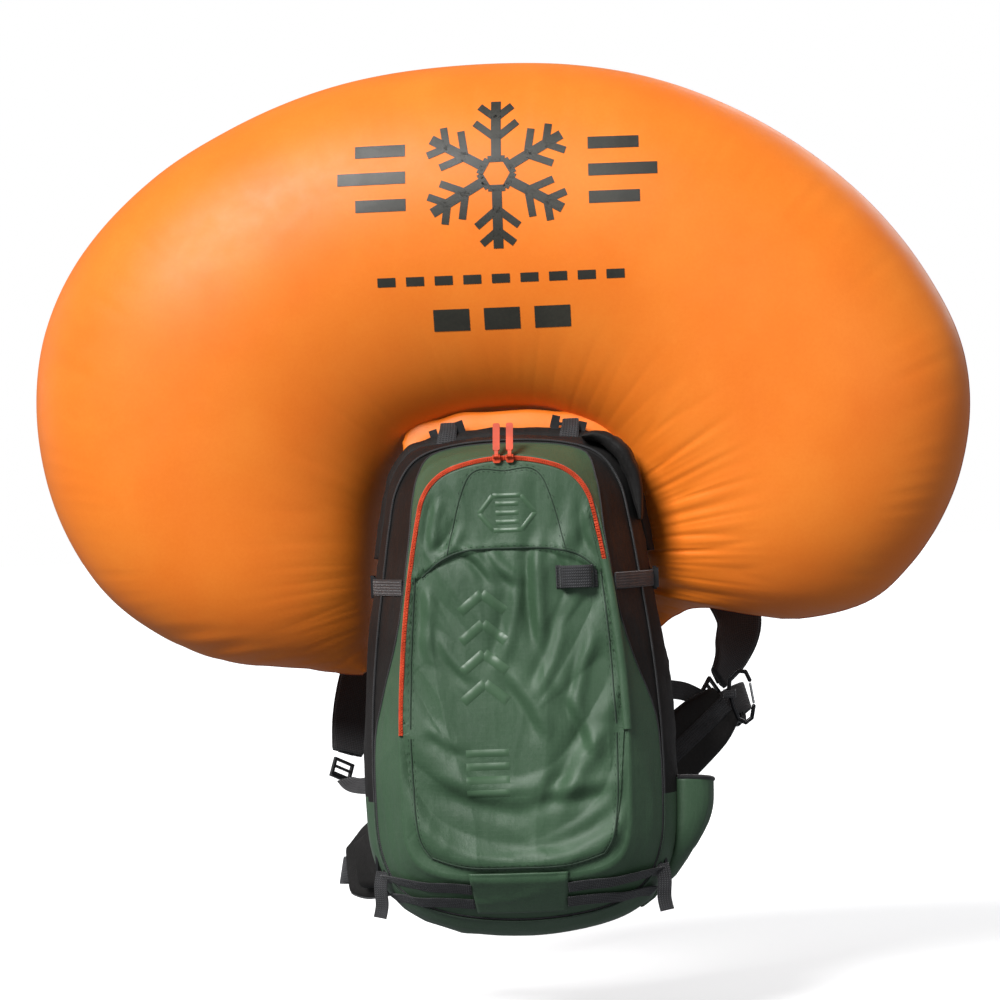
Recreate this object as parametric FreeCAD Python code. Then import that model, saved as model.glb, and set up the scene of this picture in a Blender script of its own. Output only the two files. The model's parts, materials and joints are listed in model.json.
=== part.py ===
"""Avalanche airbag backpack, worn type, with its airbag inflated.

Millimetres. Origin: the centre of the lumbar pad's rear face, where the pack bears on the wearer.
+X is the wearer's right, +Y points out of the back panel towards the wearer, +Z is up.
The bag is a stack of outlines in planes of constant Y, from the back panel to the front pocket.
"""

import FreeCAD
import Part
import math
import os

Vec = FreeCAD.Vector

# Layers of the back panel, counted from the wearer
PAD_THICK = 18.0
SHEET_THICK = 3.0
STAY_THICK = 3.0
BAG_REAR_Y = -(PAD_THICK + SHEET_THICK + STAY_THICK)

# Bag: right half of the widest outline and of the front outline, as (x, z)
WIDE_OUTLINE = [
    (0, 478), (75, 474), (122, 460), (147, 425), (158, 375), (168, 310), (181, 225),
    (189, 140), (192, 50), (186, -30), (158, -88), (98, -122), (0, -135),
]
FRONT_OUTLINE = [
    (0, 456), (48, 450), (84, 431), (107, 397), (117, 355), (125, 300), (133, 220),
    (138, 140), (138, 50), (134, -12), (112, -42), (62, -54), (0, -56),
]
BAG_CENTRE_Z = 170.0
POCKET_REAR_Y = -150.0
FRONT_Y = -206.0
CROWN_Y = -215.0
CROWN_SHRINK = 0.55
FABRIC = 2.5

# Share of the way from the widest outline to the front outline, at each depth
SIDE_PROFILE = [
    (-110, 0.0), (-130, 0.1), (-150, 0.3), (-170, 0.52), (-190, 0.78), (-202, 0.95), (-206, 1.0),
]
# Share of the widest outline's size, at each depth behind it
REAR_PROFILE = [(BAG_REAR_Y, 0.76), (-34, 0.87), (-52, 0.95), (-80, 1.0), (-110, 1.0)]

# Pocket zipper: three tangent arcs from the top centre down to the fold line
ZIP_TOP_Z = 452.0
ZIP_ARCS = [(190.0, 90.0, 71.0), (64.0, 71.0, 12.0), (1500.0, 12.0, 1.5)]
ZIP_GAP = 0.2
TAPE_WIDE = 2.8
TAPE_FRONT_Y = -209.0
TAPE_REAR_Y = -200.0
FOLD_GAP = 0.3
SLIDER_OFFSET = 8.0
PULL_LEAN = 27.0
PULL_LONG = 44.0

# Airbag: polar sections about this centre, as (angle, inner radius, outer radius, thickness)
AIRBAG_CENTRE = (0.0, 330.0)
AIRBAG_MID_Y = 20.0
AIRBAG_WALL = 1.2
AIRBAG_SECTIONS = [
    (-24, 188, 206, 22), (-16, 176, 292, 105), (-9, 170, 440, 206), (2, 160, 527, 277),
    (17, 166, 600, 318), (36, 178, 624, 340), (60, 188, 626, 348), (84, 186, 624, 352),
    (108, 190, 638, 352), (130, 202, 666, 348), (147, 200, 675, 340), (163, 190, 640, 322),
    (178, 188, 562, 290), (189, 196, 488, 238), (199, 206, 386, 164), (209, 226, 276, 56),
]

# Blower unit, inside the top of the bag
UNIT_X = 92.0
UNIT_Z = (262.0, 402.0)
UNIT_Y = (-104.0, -34.0)
UNIT_MID_Y = -69.0
UNIT_WALL = 2.5
FAN_X, FAN_Z, FAN_R = -38.0, 330.0, 46.0
NECK_R = 24.0
NECK_WALL = 1.5
NECK_FOOT_Z, NECK_TOP_Z = 396.0, 600.0
BUTTON_X, BUTTON_Z, BUTTON_R = 62.0, 382.0, 6.0
DEFLATE_DROP = 26.0
BUTTON_PROUD = 1.6
BUTTON_DEEP = 5.0
BUTTON_CLEARANCE = 0.25
GLAND_X, GLAND_Y, GLAND_R = -70.0, -46.0, 4.0
CABLE_R = 1.8
SLOT_PITCH, SLOT_HIGH, INTAKE_R = 8.0, 4.8, 30.0
BLADES = 11
BLADE_SET = 28.0
FAN_FRONT_Y = -99.0
FAN_DISC_Y = (-67.0, -64.5)
SHAFT_R = 2.5
MOTOR_R = 21.0
CELL_R, CELL_LONG = 7.25, 50.5
DOOR = (14.0, 78.0, -90.0, -50.0)

# Webbing
WEB_THICK = 2.0
GUARD = 0.6
UPPER_STRAP_Z = 300.0


# ---------------------------------------------------------------- helpers

def box(x, y, z):
    """A block from three (low, high) pairs."""
    size = [high - low for low, high in (x, y, z)]
    return Part.makeBox(*size, Vec(x[0], y[0], z[0]))


def cylinder(radius, start, end):
    axis = Vec(*end) - Vec(*start)
    return Part.makeCylinder(radius, axis.Length, Vec(*start), axis)


def rounded_plate(x, z, y, radius):
    """A plate in the XZ plane with rounded corners, given by (low, high) pairs."""
    plate = box(x, y, z)
    corners = [e for e in plate.Edges if abs(e.tangentAt(e.FirstParameter).y) > 0.9]
    return plate.makeFillet(radius, corners)


def closed_curve(points):
    curve = Part.BSplineCurve()
    curve.interpolate(Points=points, PeriodicFlag=True)
    return Part.Wire([curve.toShape()])


def loft(wires, ruled=False):
    return Part.makeLoft(wires, True, ruled)


def largest(shape):
    return max(shape.Solids, key=lambda s: s.Volume)


def trim(shape, *others):
    """The largest solid left of a shape when its neighbours are cut away."""
    for other in others:
        shape = shape.cut(other)
    return largest(shape)


def turned(shape, centre, axis, degrees):
    copy = shape.copy()
    copy.rotate(Vec(*centre), Vec(*axis), degrees)
    return copy


def mirrored(shape):
    return shape.mirror(Vec(0, 0, 0), Vec(1, 0, 0))


def ribbon(stations, thick):
    """A strap lofted through stations of (point, width direction, width)."""
    points = [Vec(*p) for p, _, _ in stations]
    wires = []
    for i, (_, direction, width) in enumerate(stations):
        along = points[min(i + 1, len(points) - 1)] - points[max(i - 1, 0)]
        across = Vec(*direction)
        across = (across - along * (across.dot(along) / along.dot(along))).normalize()
        normal = along.cross(across).normalize()
        a, b = across * (width / 2), normal * (thick / 2)
        corners = [points[i] + a + b, points[i] - a + b, points[i] - a - b, points[i] + a - b]
        wires.append(Part.makePolygon(corners + corners[:1]))
    return loft(wires)


# ---------------------------------------------------------------- bag

def full_outline(half, y):
    left = [(-x, z) for x, z in reversed(half[1:-1])]
    return [Vec(x, y, z) for x, z in half + left]


def scaled_outline(half, factor, inset):
    """The half outline scaled about the bag's centre, then moved inwards."""
    made = []
    for x, z in half:
        dx, dz = x * factor, (z - BAG_CENTRE_Z) * factor
        length = math.hypot(dx, dz)
        keep = (length - inset) / length
        made.append((dx * keep, BAG_CENTRE_Z + dz * keep))
    return made


def mixed_outline(share, inset):
    mixed = [
        ((1 - share) * a[0] + share * b[0], (1 - share) * a[1] + share * b[1])
        for a, b in zip(WIDE_OUTLINE, FRONT_OUTLINE)
    ]
    return scaled_outline(mixed, 1.0, inset)


def bag_layers(inset):
    rear = [(y, scaled_outline(WIDE_OUTLINE, f, inset)) for y, f in REAR_PROFILE]
    front = [(y, mixed_outline(q, inset)) for y, q in SIDE_PROFILE[1:]]
    return rear + front


def bag_block(y_rear, y_front, inset, crown):
    """The bag's filled shape between two depths."""
    layers = [(y, o) for y, o in bag_layers(inset) if y_front <= y <= y_rear]
    block = loft([closed_curve(full_outline(o, y)) for y, o in layers])
    if crown:
        base = closed_curve(full_outline(scaled_outline(FRONT_OUTLINE, 1.0, inset), FRONT_Y))
        top = closed_curve(full_outline(scaled_outline(FRONT_OUTLINE, CROWN_SHRINK, 0.0), CROWN_Y + inset))
        block = block.fuse(loft([base, top], True))
    return block


def zip_centres():
    """Centres of the zipper's arcs on the right side, worked out from their radii."""
    x, z = 0.0, ZIP_TOP_Z
    centres = []
    for radius, start, end in ZIP_ARCS:
        a, b = math.radians(start), math.radians(end)
        cx, cz = x - radius * math.cos(a), z - radius * math.sin(a)
        centres.append((cx, cz))
        x, z = cx + radius * math.cos(b), cz + radius * math.sin(b)
    return centres


def zip_edges(offset, y):
    """Edges of the zipper's line moved outwards by offset, from the left end to the right end."""
    right, left = [], []
    for (cx, cz), (radius, start, end) in zip(zip_centres(), ZIP_ARCS):
        r = radius + offset
        angles = [math.radians(v) for v in (start, (start + end) / 2, end)]
        p = [Vec(cx + r * math.cos(v), y, cz + r * math.sin(v)) for v in angles]
        m = [Vec(-v.x, v.y, v.z) for v in reversed(p)]
        right.append(Part.Arc(*p).toShape())
        left.insert(0, Part.Arc(*m).toShape())
    return left + right


def ends(edges):
    return edges[0].Vertexes[0].Point, edges[-1].Vertexes[-1].Point


def zip_region(offset, y, depth, drop=0.0):
    """A block inside the zipper's line, closed along the fold line."""
    edges = zip_edges(offset, y)
    first, last = ends(edges)
    corner_a, corner_b = Vec(last.x, y, last.z - drop), Vec(first.x, y, first.z - drop)
    loop = [last, corner_a, corner_b, first] if drop else [last, first]
    lines = [Part.makeLine(a, b) for a, b in zip(loop, loop[1:])]
    face = Part.Face(Part.Wire(edges + lines))
    return face.extrude(Vec(0, depth, 0))


def zip_band(inner, outer, y, depth):
    """A band along the zipper's line between two offsets."""
    inside, outside = zip_edges(inner, y), zip_edges(outer, y)
    a0, a1 = ends(inside)
    b0, b1 = ends(outside)
    loop = Part.Wire(Part.sortEdges(inside + outside + [Part.makeLine(a0, b0), Part.makeLine(a1, b1)])[0])
    return Part.Face(loop).extrude(Vec(0, depth, 0))


def make_bag(parts):
    main_full = bag_block(BAG_REAR_Y, POCKET_REAR_Y, 0.0, False)
    main_hollow = bag_block(BAG_REAR_Y, POCKET_REAR_Y, FABRIC, False)
    inner = main_hollow.common(box((-300, 300), (POCKET_REAR_Y + FABRIC, BAG_REAR_Y - FABRIC), (-300, 600)))
    neck_hole = cylinder(NECK_R + 0.4, (0, UNIT_MID_Y, 420), (0, UNIT_MID_Y, 520))
    parts["main_bag"] = largest(main_full.cut(inner).cut(neck_hole))

    pocket_full = bag_block(POCKET_REAR_Y, CROWN_Y, 0.0, True)
    pocket_hollow = bag_block(POCKET_REAR_Y, CROWN_Y, FABRIC, True)
    shell = largest(pocket_full.cut(pocket_hollow))
    fold_z = ends(zip_edges(0, 0))[0].z + FOLD_GAP
    above_fold = box((-200, 200), (-260, -140), (fold_z, 600))
    tape_depth = TAPE_REAR_Y - TAPE_FRONT_Y
    flap_tape = zip_band(-TAPE_WIDE, -ZIP_GAP, TAPE_FRONT_Y, tape_depth).common(above_fold)
    body_tape = zip_band(ZIP_GAP, TAPE_WIDE, TAPE_FRONT_Y, tape_depth)
    opening = zip_region(ZIP_GAP, -260, 260 + TAPE_REAR_Y + ZIP_GAP)
    door = zip_region(-ZIP_GAP, -260, 260 + TAPE_REAR_Y).common(above_fold)
    parts["zipper_tape_flap"] = largest(flap_tape)
    parts["zipper_tape_body"] = largest(body_tape)
    parts["pocket_gusset"] = trim(shell, opening, body_tape)
    parts["front_flap"] = trim(shell.common(door), flap_tape)
    return main_full, pocket_full


def make_sliders(parts):
    """Two sliders on the top arc, each with a pull leaning back over the bag."""
    slider_front = TAPE_FRONT_Y - 4.6
    for side, name in ((-1, "left"), (1, "right")):
        x = side * SLIDER_OFFSET
        z = ZIP_TOP_Z - 0.2
        body = box((x - 4.6, x + 4.6), (slider_front, TAPE_FRONT_Y - 0.4), (z - 5.5, z + 4.5))
        corners = [e for e in body.Edges if abs(e.tangentAt(e.FirstParameter).y) > 0.9]
        body = body.makeFillet(2.4, corners)
        post_y, post_z = (slider_front - 5, slider_front + 0.5), (z + 1.0, z + 4.4)
        posts = [box((x + s - 0.8, x + s + 0.8), post_y, post_z) for s in (-3.6, 3.6)]
        hole_z, hole_y = z + 2.7, slider_front - 3.0
        pin = cylinder(0.8, (x - 3.2, hole_y, hole_z), (x + 3.2, hole_y, hole_z))
        parts["zip_slider_" + name] = body.fuse(posts + [pin]).removeSplitter()
        eye = cylinder(2.0, (x - 2.4, hole_y, hole_z), (x + 2.4, hole_y, hole_z))
        neck = box((x - 2.2, x + 2.2), (hole_y - 1.2, hole_y + 1.2), (hole_z + 1.0, hole_z + 9))
        grip_y = (hole_y - 1.6, hole_y + 1.6)
        grip = rounded_plate((x - 4.2, x + 4.2), (hole_z + 7, hole_z + PULL_LONG), grip_y, 2.5)
        tab = neck.fuse(grip)
        bore = cylinder(0.95, (x - 9, hole_y, hole_z), (x + 9, hole_y, hole_z))
        pull = largest(eye.fuse(tab).cut(bore))
        parts["zip_pull_" + name] = turned(pull, (x, hole_y, hole_z), (1, 0, 0), -PULL_LEAN)


# ---------------------------------------------------------------- airbag

def swept_rings(rings):
    """A solid with a smooth skin through closed rings of control points, capped at both ends."""
    around, along = len(rings[0]), len(rings)
    surface = Part.BSplineSurface()
    poles = [[ring[k] for ring in rings] for k in range(around)]
    end_mults = [4] + [1] * (along - 4) + [4]
    around_knots, along_knots = list(range(around + 1)), list(range(along - 2))
    surface.buildFromPolesMultsKnots(
        poles, [1] * (around + 1), end_mults, around_knots, along_knots, True, False, 3, 3)
    side = surface.toShape()
    caps = [Part.Face(Part.Wire([surface.vIso(v).toShape()])) for v in (0, along - 3)]
    shell = Part.Shell([side] + caps)
    shell.sewShape()
    solid = Part.Solid(Part.Shell(shell.Faces))
    if solid.Volume < 0:
        solid.reverse()
    return solid


def airbag_block(wall):
    around = 12
    # A uniform cubic ring lies inside its control points by this share
    spread = 3 / (2 + math.cos(2 * math.pi / around))
    rings = []
    for angle, r_in, r_out, thick in AIRBAG_SECTIONS:
        a = math.radians(angle)
        radial = Vec(math.cos(a), 0, math.sin(a))
        centre = Vec(AIRBAG_CENTRE[0], AIRBAG_MID_Y, AIRBAG_CENTRE[1]) + radial * ((r_in + r_out) / 2)
        half_wide = ((r_out - r_in) / 2 - wall) * spread
        half_deep = (thick / 2 - wall) * spread
        angles = [2 * math.pi * k / around for k in range(around)]
        deep = Vec(0, half_deep, 0)
        rings.append([centre + radial * (half_wide * math.cos(t)) + deep * math.sin(t) for t in angles])
    return swept_rings(rings)


def upright(radius, low, high):
    """A cylinder about the air neck's axis, between two heights."""
    return cylinder(radius, (0, UNIT_MID_Y, low), (0, UNIT_MID_Y, high))


def arch(outset_inner, outset_outer, y, thick, z_low):
    """A band around the top of the bag, in a plane of constant Y."""
    outer = closed_curve(full_outline(scaled_outline(WIDE_OUTLINE, 1.0, -outset_outer), y))
    inner = closed_curve(full_outline(scaled_outline(WIDE_OUTLINE, 1.0, -outset_inner), y))
    band = Part.Face(outer).cut(Part.Face(inner)).extrude(Vec(0, thick, 0))
    return band.common(box((-300, 300), (y - 5, y + thick + 5), (z_low, 700)))


def make_airbag(parts, main_full):
    full = airbag_block(0.0)
    hollow = airbag_block(AIRBAG_WALL)
    throat = upright(NECK_R - NECK_WALL, 470, 640)
    parts["airbag"] = largest(full.cut(hollow).cut(throat))
    neck_block = upright(NECK_R, NECK_FOOT_Z, NECK_TOP_Z)
    neck = neck_block.cut(upright(NECK_R - NECK_WALL, NECK_FOOT_Z - 6, NECK_TOP_Z + 10))
    parts["airbag_neck"] = min(neck.cut(full).Solids, key=lambda s: s.CenterOfMass.z)
    collar = arch(-14, 12, -73, 3.0, 318)
    parts["airbag_collar"] = trim(collar, main_full, neck_block)
    flange = arch(4, 34, -62, 1.4, 440)
    parts["airbag_flange"] = trim(flange, main_full, full, neck_block)
    clips = []
    for side, x, z, lean in ((-1, -76, 484, 17), (1, 72, 487, -15)):
        plate = rounded_plate((x - 21, x + 21), (z - 6, z + 6), (-80, -75.6), 4)
        tabs = [box((x + s - 5, x + s + 5), (-80, -77), (z - 3, z + 13)) for s in (-17, 17)]
        slot = box((x - 11, x + 11), (-90, -60), (z - 2, z + 2))
        clip = plate.fuse(tabs).cut(slot)
        clips.append(turned(clip, (x, 0, z), (0, 1, 0), -lean))
    parts["anchor_clips"] = Part.makeCompound([trim(c, main_full) for c in clips])
    return full


# ---------------------------------------------------------------- blower unit

def make_blower(parts):
    outer = rounded_plate((-UNIT_X, UNIT_X), UNIT_Z, UNIT_Y, 18)
    w = UNIT_WALL
    cavity = rounded_plate((-UNIT_X + w, UNIT_X - w), (UNIT_Z[0] + w, UNIT_Z[1] - w),
                           (UNIT_Y[0] + w, UNIT_Y[1] - w), 15.5)
    top = UNIT_Z[1]
    outlet = upright(NECK_R + 0.1, top - 20, top + 20)
    x0, x1, y0, y1 = DOOR
    hatch = box((x0 - 0.4, x1 + 0.4), (y0 - 0.4, y1 + 0.4), (UNIT_Z[0] - 5, UNIT_Z[0] + w + 1))
    shell = outer.cut(cavity).cut(outlet).cut(hatch)
    gx, gy = GLAND_X, GLAND_Y
    shell = shell.cut(cylinder(GLAND_R, (gx, gy, top - 5), (gx, gy, top + 5)))
    gland = cylinder(GLAND_R, (gx, gy, top - w), (gx, gy, top + 8))
    gland = gland.fuse(cylinder(GLAND_R + 2, (gx, gy, top), (gx, gy, top + 3)))
    parts["cable_gland"] = gland.cut(cylinder(CABLE_R, (gx, gy, top - 9), (gx, gy, top + 20)))
    rear = largest(shell.common(box((-200, 200), (UNIT_MID_Y, 0), (200, 500))))
    front = largest(shell.common(box((-200, 200), (-200, UNIT_MID_Y), (200, 500))))
    ring = cylinder(FAN_R + 6, (FAN_X, UNIT_Y[0] + w, FAN_Z), (FAN_X, UNIT_MID_Y, FAN_Z)).cut(
        cylinder(FAN_R + 4, (FAN_X, UNIT_Y[0], FAN_Z), (FAN_X, UNIT_MID_Y + 5, FAN_Z)))
    mouth = box((FAN_X, FAN_X + 70), (-200, 0), (FAN_Z + 20, FAN_Z + 70))
    front = front.fuse(largest(ring.cut(mouth)).common(outer)).removeSplitter()
    face = UNIT_Y[0]
    for k in range(-3, 4):
        half, z = math.sqrt(INTAKE_R ** 2 - (k * SLOT_PITCH) ** 2), FAN_Z + k * SLOT_PITCH
        slot_z = (z - SLOT_HIGH / 2, z + SLOT_HIGH / 2)
        slot = box((FAN_X - half, FAN_X + half), (face - 5, face + w + 1), slot_z)
        front = front.cut(slot)
    parts["blower_rear_shell"] = rear
    low_z = BUTTON_Z - DEFLATE_DROP
    for name, z in (("power_button", BUTTON_Z), ("deflate_button", low_z)):
        hole = cylinder(BUTTON_R + BUTTON_CLEARANCE, (BUTTON_X, face - 5, z), (BUTTON_X, face + 6, z))
        front = front.cut(hole)
        ends_y = face - BUTTON_PROUD, face + BUTTON_DEEP
        parts[name] = cylinder(BUTTON_R, (BUTTON_X, ends_y[0], z), (BUTTON_X, ends_y[1], z))
    socket = box((BUTTON_X + 10, BUTTON_X + 19), (face, face + 6), (low_z - 1.6, low_z + 1.6))
    front = front.cut(socket)
    slit = box((BUTTON_X + 11, BUTTON_X + 18), (face - 1, face + 4), (low_z - 0.6, low_z + 0.6))
    parts["charge_socket"] = socket.cut(slit)
    parts["blower_front_shell"] = largest(front)
    parts["battery_door"] = box((x0, x1), (y0, y1), (UNIT_Z[0], UNIT_Z[0] + w))

    blades = []
    for k in range(BLADES):
        blade = box((14, FAN_R - 1), (FAN_FRONT_Y, FAN_DISC_Y[0] + 1), (-0.9, 0.9))
        blade.rotate(Vec(14, 0, 0), Vec(0, 1, 0), BLADE_SET)
        blade.rotate(Vec(0, 0, 0), Vec(0, 1, 0), k * 360 / BLADES)
        blade.translate(Vec(FAN_X, 0, FAN_Z))
        blades.append(blade)
    def along_fan(radius, y0, y1):
        return cylinder(radius, (FAN_X, y0, FAN_Z), (FAN_X, y1, FAN_Z))
    disc = along_fan(FAN_R, *FAN_DISC_Y)
    hub = along_fan(16, -92, FAN_DISC_Y[1])
    shaft = along_fan(SHAFT_R, -70, -44)
    rim = along_fan(FAN_R, FAN_FRONT_Y, FAN_FRONT_Y + 2).cut(along_fan(FAN_R - 10, -105, -90))
    swept = along_fan(FAN_R, FAN_FRONT_Y, -40)
    parts["impeller"] = disc.fuse([hub, shaft, rim] + blades).common(swept).removeSplitter()
    shaft_hole = along_fan(SHAFT_R + 0.06, -70, -42)
    parts["motor"] = along_fan(MOTOR_R, -61, UNIT_Y[1] - UNIT_WALL).cut(shaft_hole)
    caps = [cylinder(16, (22, UNIT_MID_Y, z), (86, UNIT_MID_Y, z)) for z in (306, 341)]
    parts["supercapacitors"] = Part.makeCompound(caps)
    board = box((20, 86), (-44.6, -43), (292, 366))
    chips = [box((28, 44), (-47, -44.6), (300, 316)), box((56, 76), (-48, -44.6), (330, 340)),
             box((30, 40), (-46.5, -44.6), (345, 360))]
    parts["control_board"] = board.fuse(chips).removeSplitter()
    cells = [cylinder(CELL_R, (20, y, 274), (20 + CELL_LONG, y, 274)) for y in (-78, -60)]
    parts["aa_cells"] = Part.makeCompound(cells)
    screw = box((NECK_R + 1, NECK_R + 10), (UNIT_MID_Y - 5, UNIT_MID_Y + 5), (top + 4, top + 12))
    clamp = upright(NECK_R + 3, top + 3, top + 13).fuse(screw)
    parts["outlet_clamp"] = largest(clamp.cut(upright(NECK_R, top, top + 20)))


# ---------------------------------------------------------------- back panel and harness

def make_back(parts):
    rear = -PAD_THICK
    parts["lumbar_pad"] = rounded_plate((-96, 96), (-56, 56), (rear, 0), 26)
    pad = rounded_plate((20, 98), (74, 322), (rear, 0), 22)
    parts["thoracic_pads"] = Part.makeCompound([pad, mirrored(pad)])
    parts["frame_sheet"] = rounded_plate((-126, 126), (-82, 432), (rear - SHEET_THICK, rear), 40)
    stay = rounded_plate((54, 68), (-72, 420), (BAG_REAR_Y, rear - SHEET_THICK), 6)
    parts["back_stays"] = Part.makeCompound([stay, mirrored(stay)])


LEFT_STRAP = [
    ((-62, -10, 344), (1, 0, 0), 60), ((-62, -6, 388), (1, 0, 0), 62), ((-65, 22, 434), (1, 0, 0), 64),
    ((-72, 80, 462), (1, 0, 0), 66), ((-82, 140, 462), (1, 0, 0.05), 66), ((-98, 195, 430), (1, 0, 0.15), 66),
    ((-120, 222, 370), (1, 0.1, 0.25), 64), ((-153, 224, 302), (1, 0.25, 0.4), 62),
    ((-192, 200, 240), (1, 0.45, 0.45), 60), ((-220, 168, 182), (1, 0.6, 0.35), 58),
    ((-234, 138, 126), (1, 0.65, 0.25), 52), ((-240, 116, 80), (1, 0.7, 0.2), 40),
]
RIGHT_STRAP = [
    ((62, -10, 344), (1, 0, 0), 60), ((62, -6, 388), (1, 0, 0), 62), ((65, 22, 434), (1, 0, 0), 64),
    ((74, 80, 462), (1, 0, 0), 66), ((90, 140, 462), (1, 0, -0.05), 66), ((116, 198, 436), (1, 0, -0.2), 66),
    ((152, 228, 388), (1, -0.1, -0.3), 64), ((200, 236, 334), (1, -0.15, -0.6), 62),
    ((248, 216, 284), (1, -0.1, -0.5), 60), ((275, 184, 236), (1, 0.0, 0.1), 56),
    ((264, 152, 192), (1, 0.8, 0.3), 48), ((246, 128, 160), (0.7, 1, 0.2), 36),
]
STRAP_THICK = 11.0


def placed(shape, centre, across, along):
    """A shape drawn with its width on X and its length on Y, laid at a point in space."""
    a = Vec(*along).normalize()
    c = Vec(*across)
    c = (c - a * c.dot(a)).normalize()
    n = c.cross(a)
    rows = [(c.x, a.x, n.x, centre[0]), (c.y, a.y, n.y, centre[1]), (c.z, a.z, n.z, centre[2]), (0, 0, 0, 1)]
    matrix = FreeCAD.Matrix(*[value for row in rows for value in row])
    copy = shape.copy()
    copy.Placement = FreeCAD.Placement(matrix)
    return copy


def ladder_lock(width):
    """A ladder-lock buckle lying flat: a frame, two slots and a raised thumb lip."""
    frame = box((-width / 2 - 4, width / 2 + 4), (-11, 11), (-2.2, 2.2))
    for low in (-7.5, 1.5):
        frame = frame.cut(box((-width / 2 - 0.5, width / 2 + 0.5), (low, low + 6), (-5, 5)))
    return frame.fuse(box((-width / 2 - 2, width / 2 + 2), (9, 14), (-1, 5))).removeSplitter()


def female_buckle(width):
    """The socket half of a side-release buckle: open at one end, a webbing bar at the other."""
    half = width / 2 + 5
    body = box((-half, half), (0, 30), (-5, 5))
    body = body.makeFillet(2.0, [e for e in body.Edges if abs(e.tangentAt(e.FirstParameter).y) > 0.9])
    body = body.cut(box((-half + 3, half - 3), (5, 40), (-2.8, 2.8)))
    side_gap = box((-half - 5, half + 5), (9, 22), (-2.4, 2.4))
    web_slot = box((-half + 4, half - 4), (-6, -1), (-5, 5))
    bar = box((-half + 1, half - 1), (-9, 0), (-2.5, 2.5)).cut(web_slot)
    return body.cut(side_gap).fuse(bar).removeSplitter()


def male_buckle(width):
    """The plug half: a base with two webbing slots and three prongs."""
    half = width / 2 + 5
    base = box((-half, half), (0, 12), (-3.5, 3.5))
    for low in (2, 7):
        base = base.cut(box((-half + 4, half - 4), (low, low + 3), (-9, 9)))
    prongs = [box((x - 2, x + 2), (11, 30), (-2, 2)) for x in (-half + 5, half - 5)]
    catches = [box((x - 3.4, x + 3.4), (24, 31), (-2, 2)) for x in (-half + 5, half - 5)]
    return base.fuse(prongs + catches + [box((-1.5, 1.5), (11, 28), (-1.5, 1.5))]).removeSplitter()


def make_shoulders(parts, main_guard, airbag_full):
    pads = [parts["frame_sheet"], parts["thoracic_pads"]]
    left = trim(ribbon(LEFT_STRAP, STRAP_THICK), airbag_full, *pads)
    right = trim(ribbon(RIGHT_STRAP, STRAP_THICK), airbag_full, *pads)
    parts["shoulder_strap_left"], parts["shoulder_strap_right"] = left, right

    lifters = []
    locks = []
    for strap, side in ((left, -1), (right, 1)):
        web = ribbon([((side * 71, -23, 462), (1, 0, 0), 20), ((side * 71, -6, 476), (1, 0, 0), 20),
                      ((side * 72, 34, 480), (1, 0, 0), 20), ((side * 75, 76, 470), (1, 0, 0), 20)], WEB_THICK)
        lock = placed(ladder_lock(20), (side * 71.5, 20, 482.5), (1, 0, 0), (0, 1, 0.06))
        lifters.append(trim(web, strap, main_guard, airbag_full))
        locks.append(trim(lock, lifters[-1], strap))
    parts["load_lifter_webbing"] = Part.makeCompound(lifters)
    parts["load_lifter_buckles"] = Part.makeCompound(locks)

    lock_left = placed(ladder_lock(25), (-246, 104, 60), (0.7, 0.72, 0), (-0.25, -0.3, -0.92))
    lock_right = placed(ladder_lock(25), (236, 117, 145), (0.6, 0.8, 0), (-0.45, -0.5, -0.74))
    lock_left, lock_right = trim(lock_left, left), trim(lock_right, right)
    parts["ladder_locks"] = Part.makeCompound([lock_left, lock_right])
    web_left = ribbon([((-240, 84, 48), (0.75, 0.6, 0.2), 24), ((-224, 58, 42), (0.5, 0.5, 0.7), 24),
                       ((-190, 26, 44), (0.2, 0.2, 1), 24), ((-150, -4, 50), (0, 0, 1), 24),
                       ((-124, -16, 56), (0, 0, 1), 24)], WEB_THICK)
    web_right = ribbon([((224, 98, 134), (0.75, 0.6, 0.1), 24), ((202, 70, 148), (0.4, 0.5, 0.8), 24),
                        ((172, 36, 154), (0.2, 0.2, 1), 24), ((144, 4, 154), (0, 0, 1), 24),
                        ((122, -16, 152), (0, 0, 1), 24)], WEB_THICK)
    web_left = trim(web_left, lock_left, left, main_guard, *pads)
    web_right = trim(web_right, lock_right, right, main_guard, *pads)
    parts["adjuster_webbing"] = Part.makeCompound([web_left, web_right])
    parts["haul_loop"] = ribbon([((-24, -14, 447), (0, 1, 0), 16), ((-24, -14, 466), (0, 1, 0), 17),
                                 ((-16, -14, 484), (0, 1, 0), 18), ((0, -14, 491), (0, 1, 0), 18),
                                 ((16, -14, 484), (0, 1, 0), 18), ((24, -14, 466), (0, 1, 0), 17),
                                 ((24, -14, 447), (0, 1, 0), 16)], 3.0)


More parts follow.
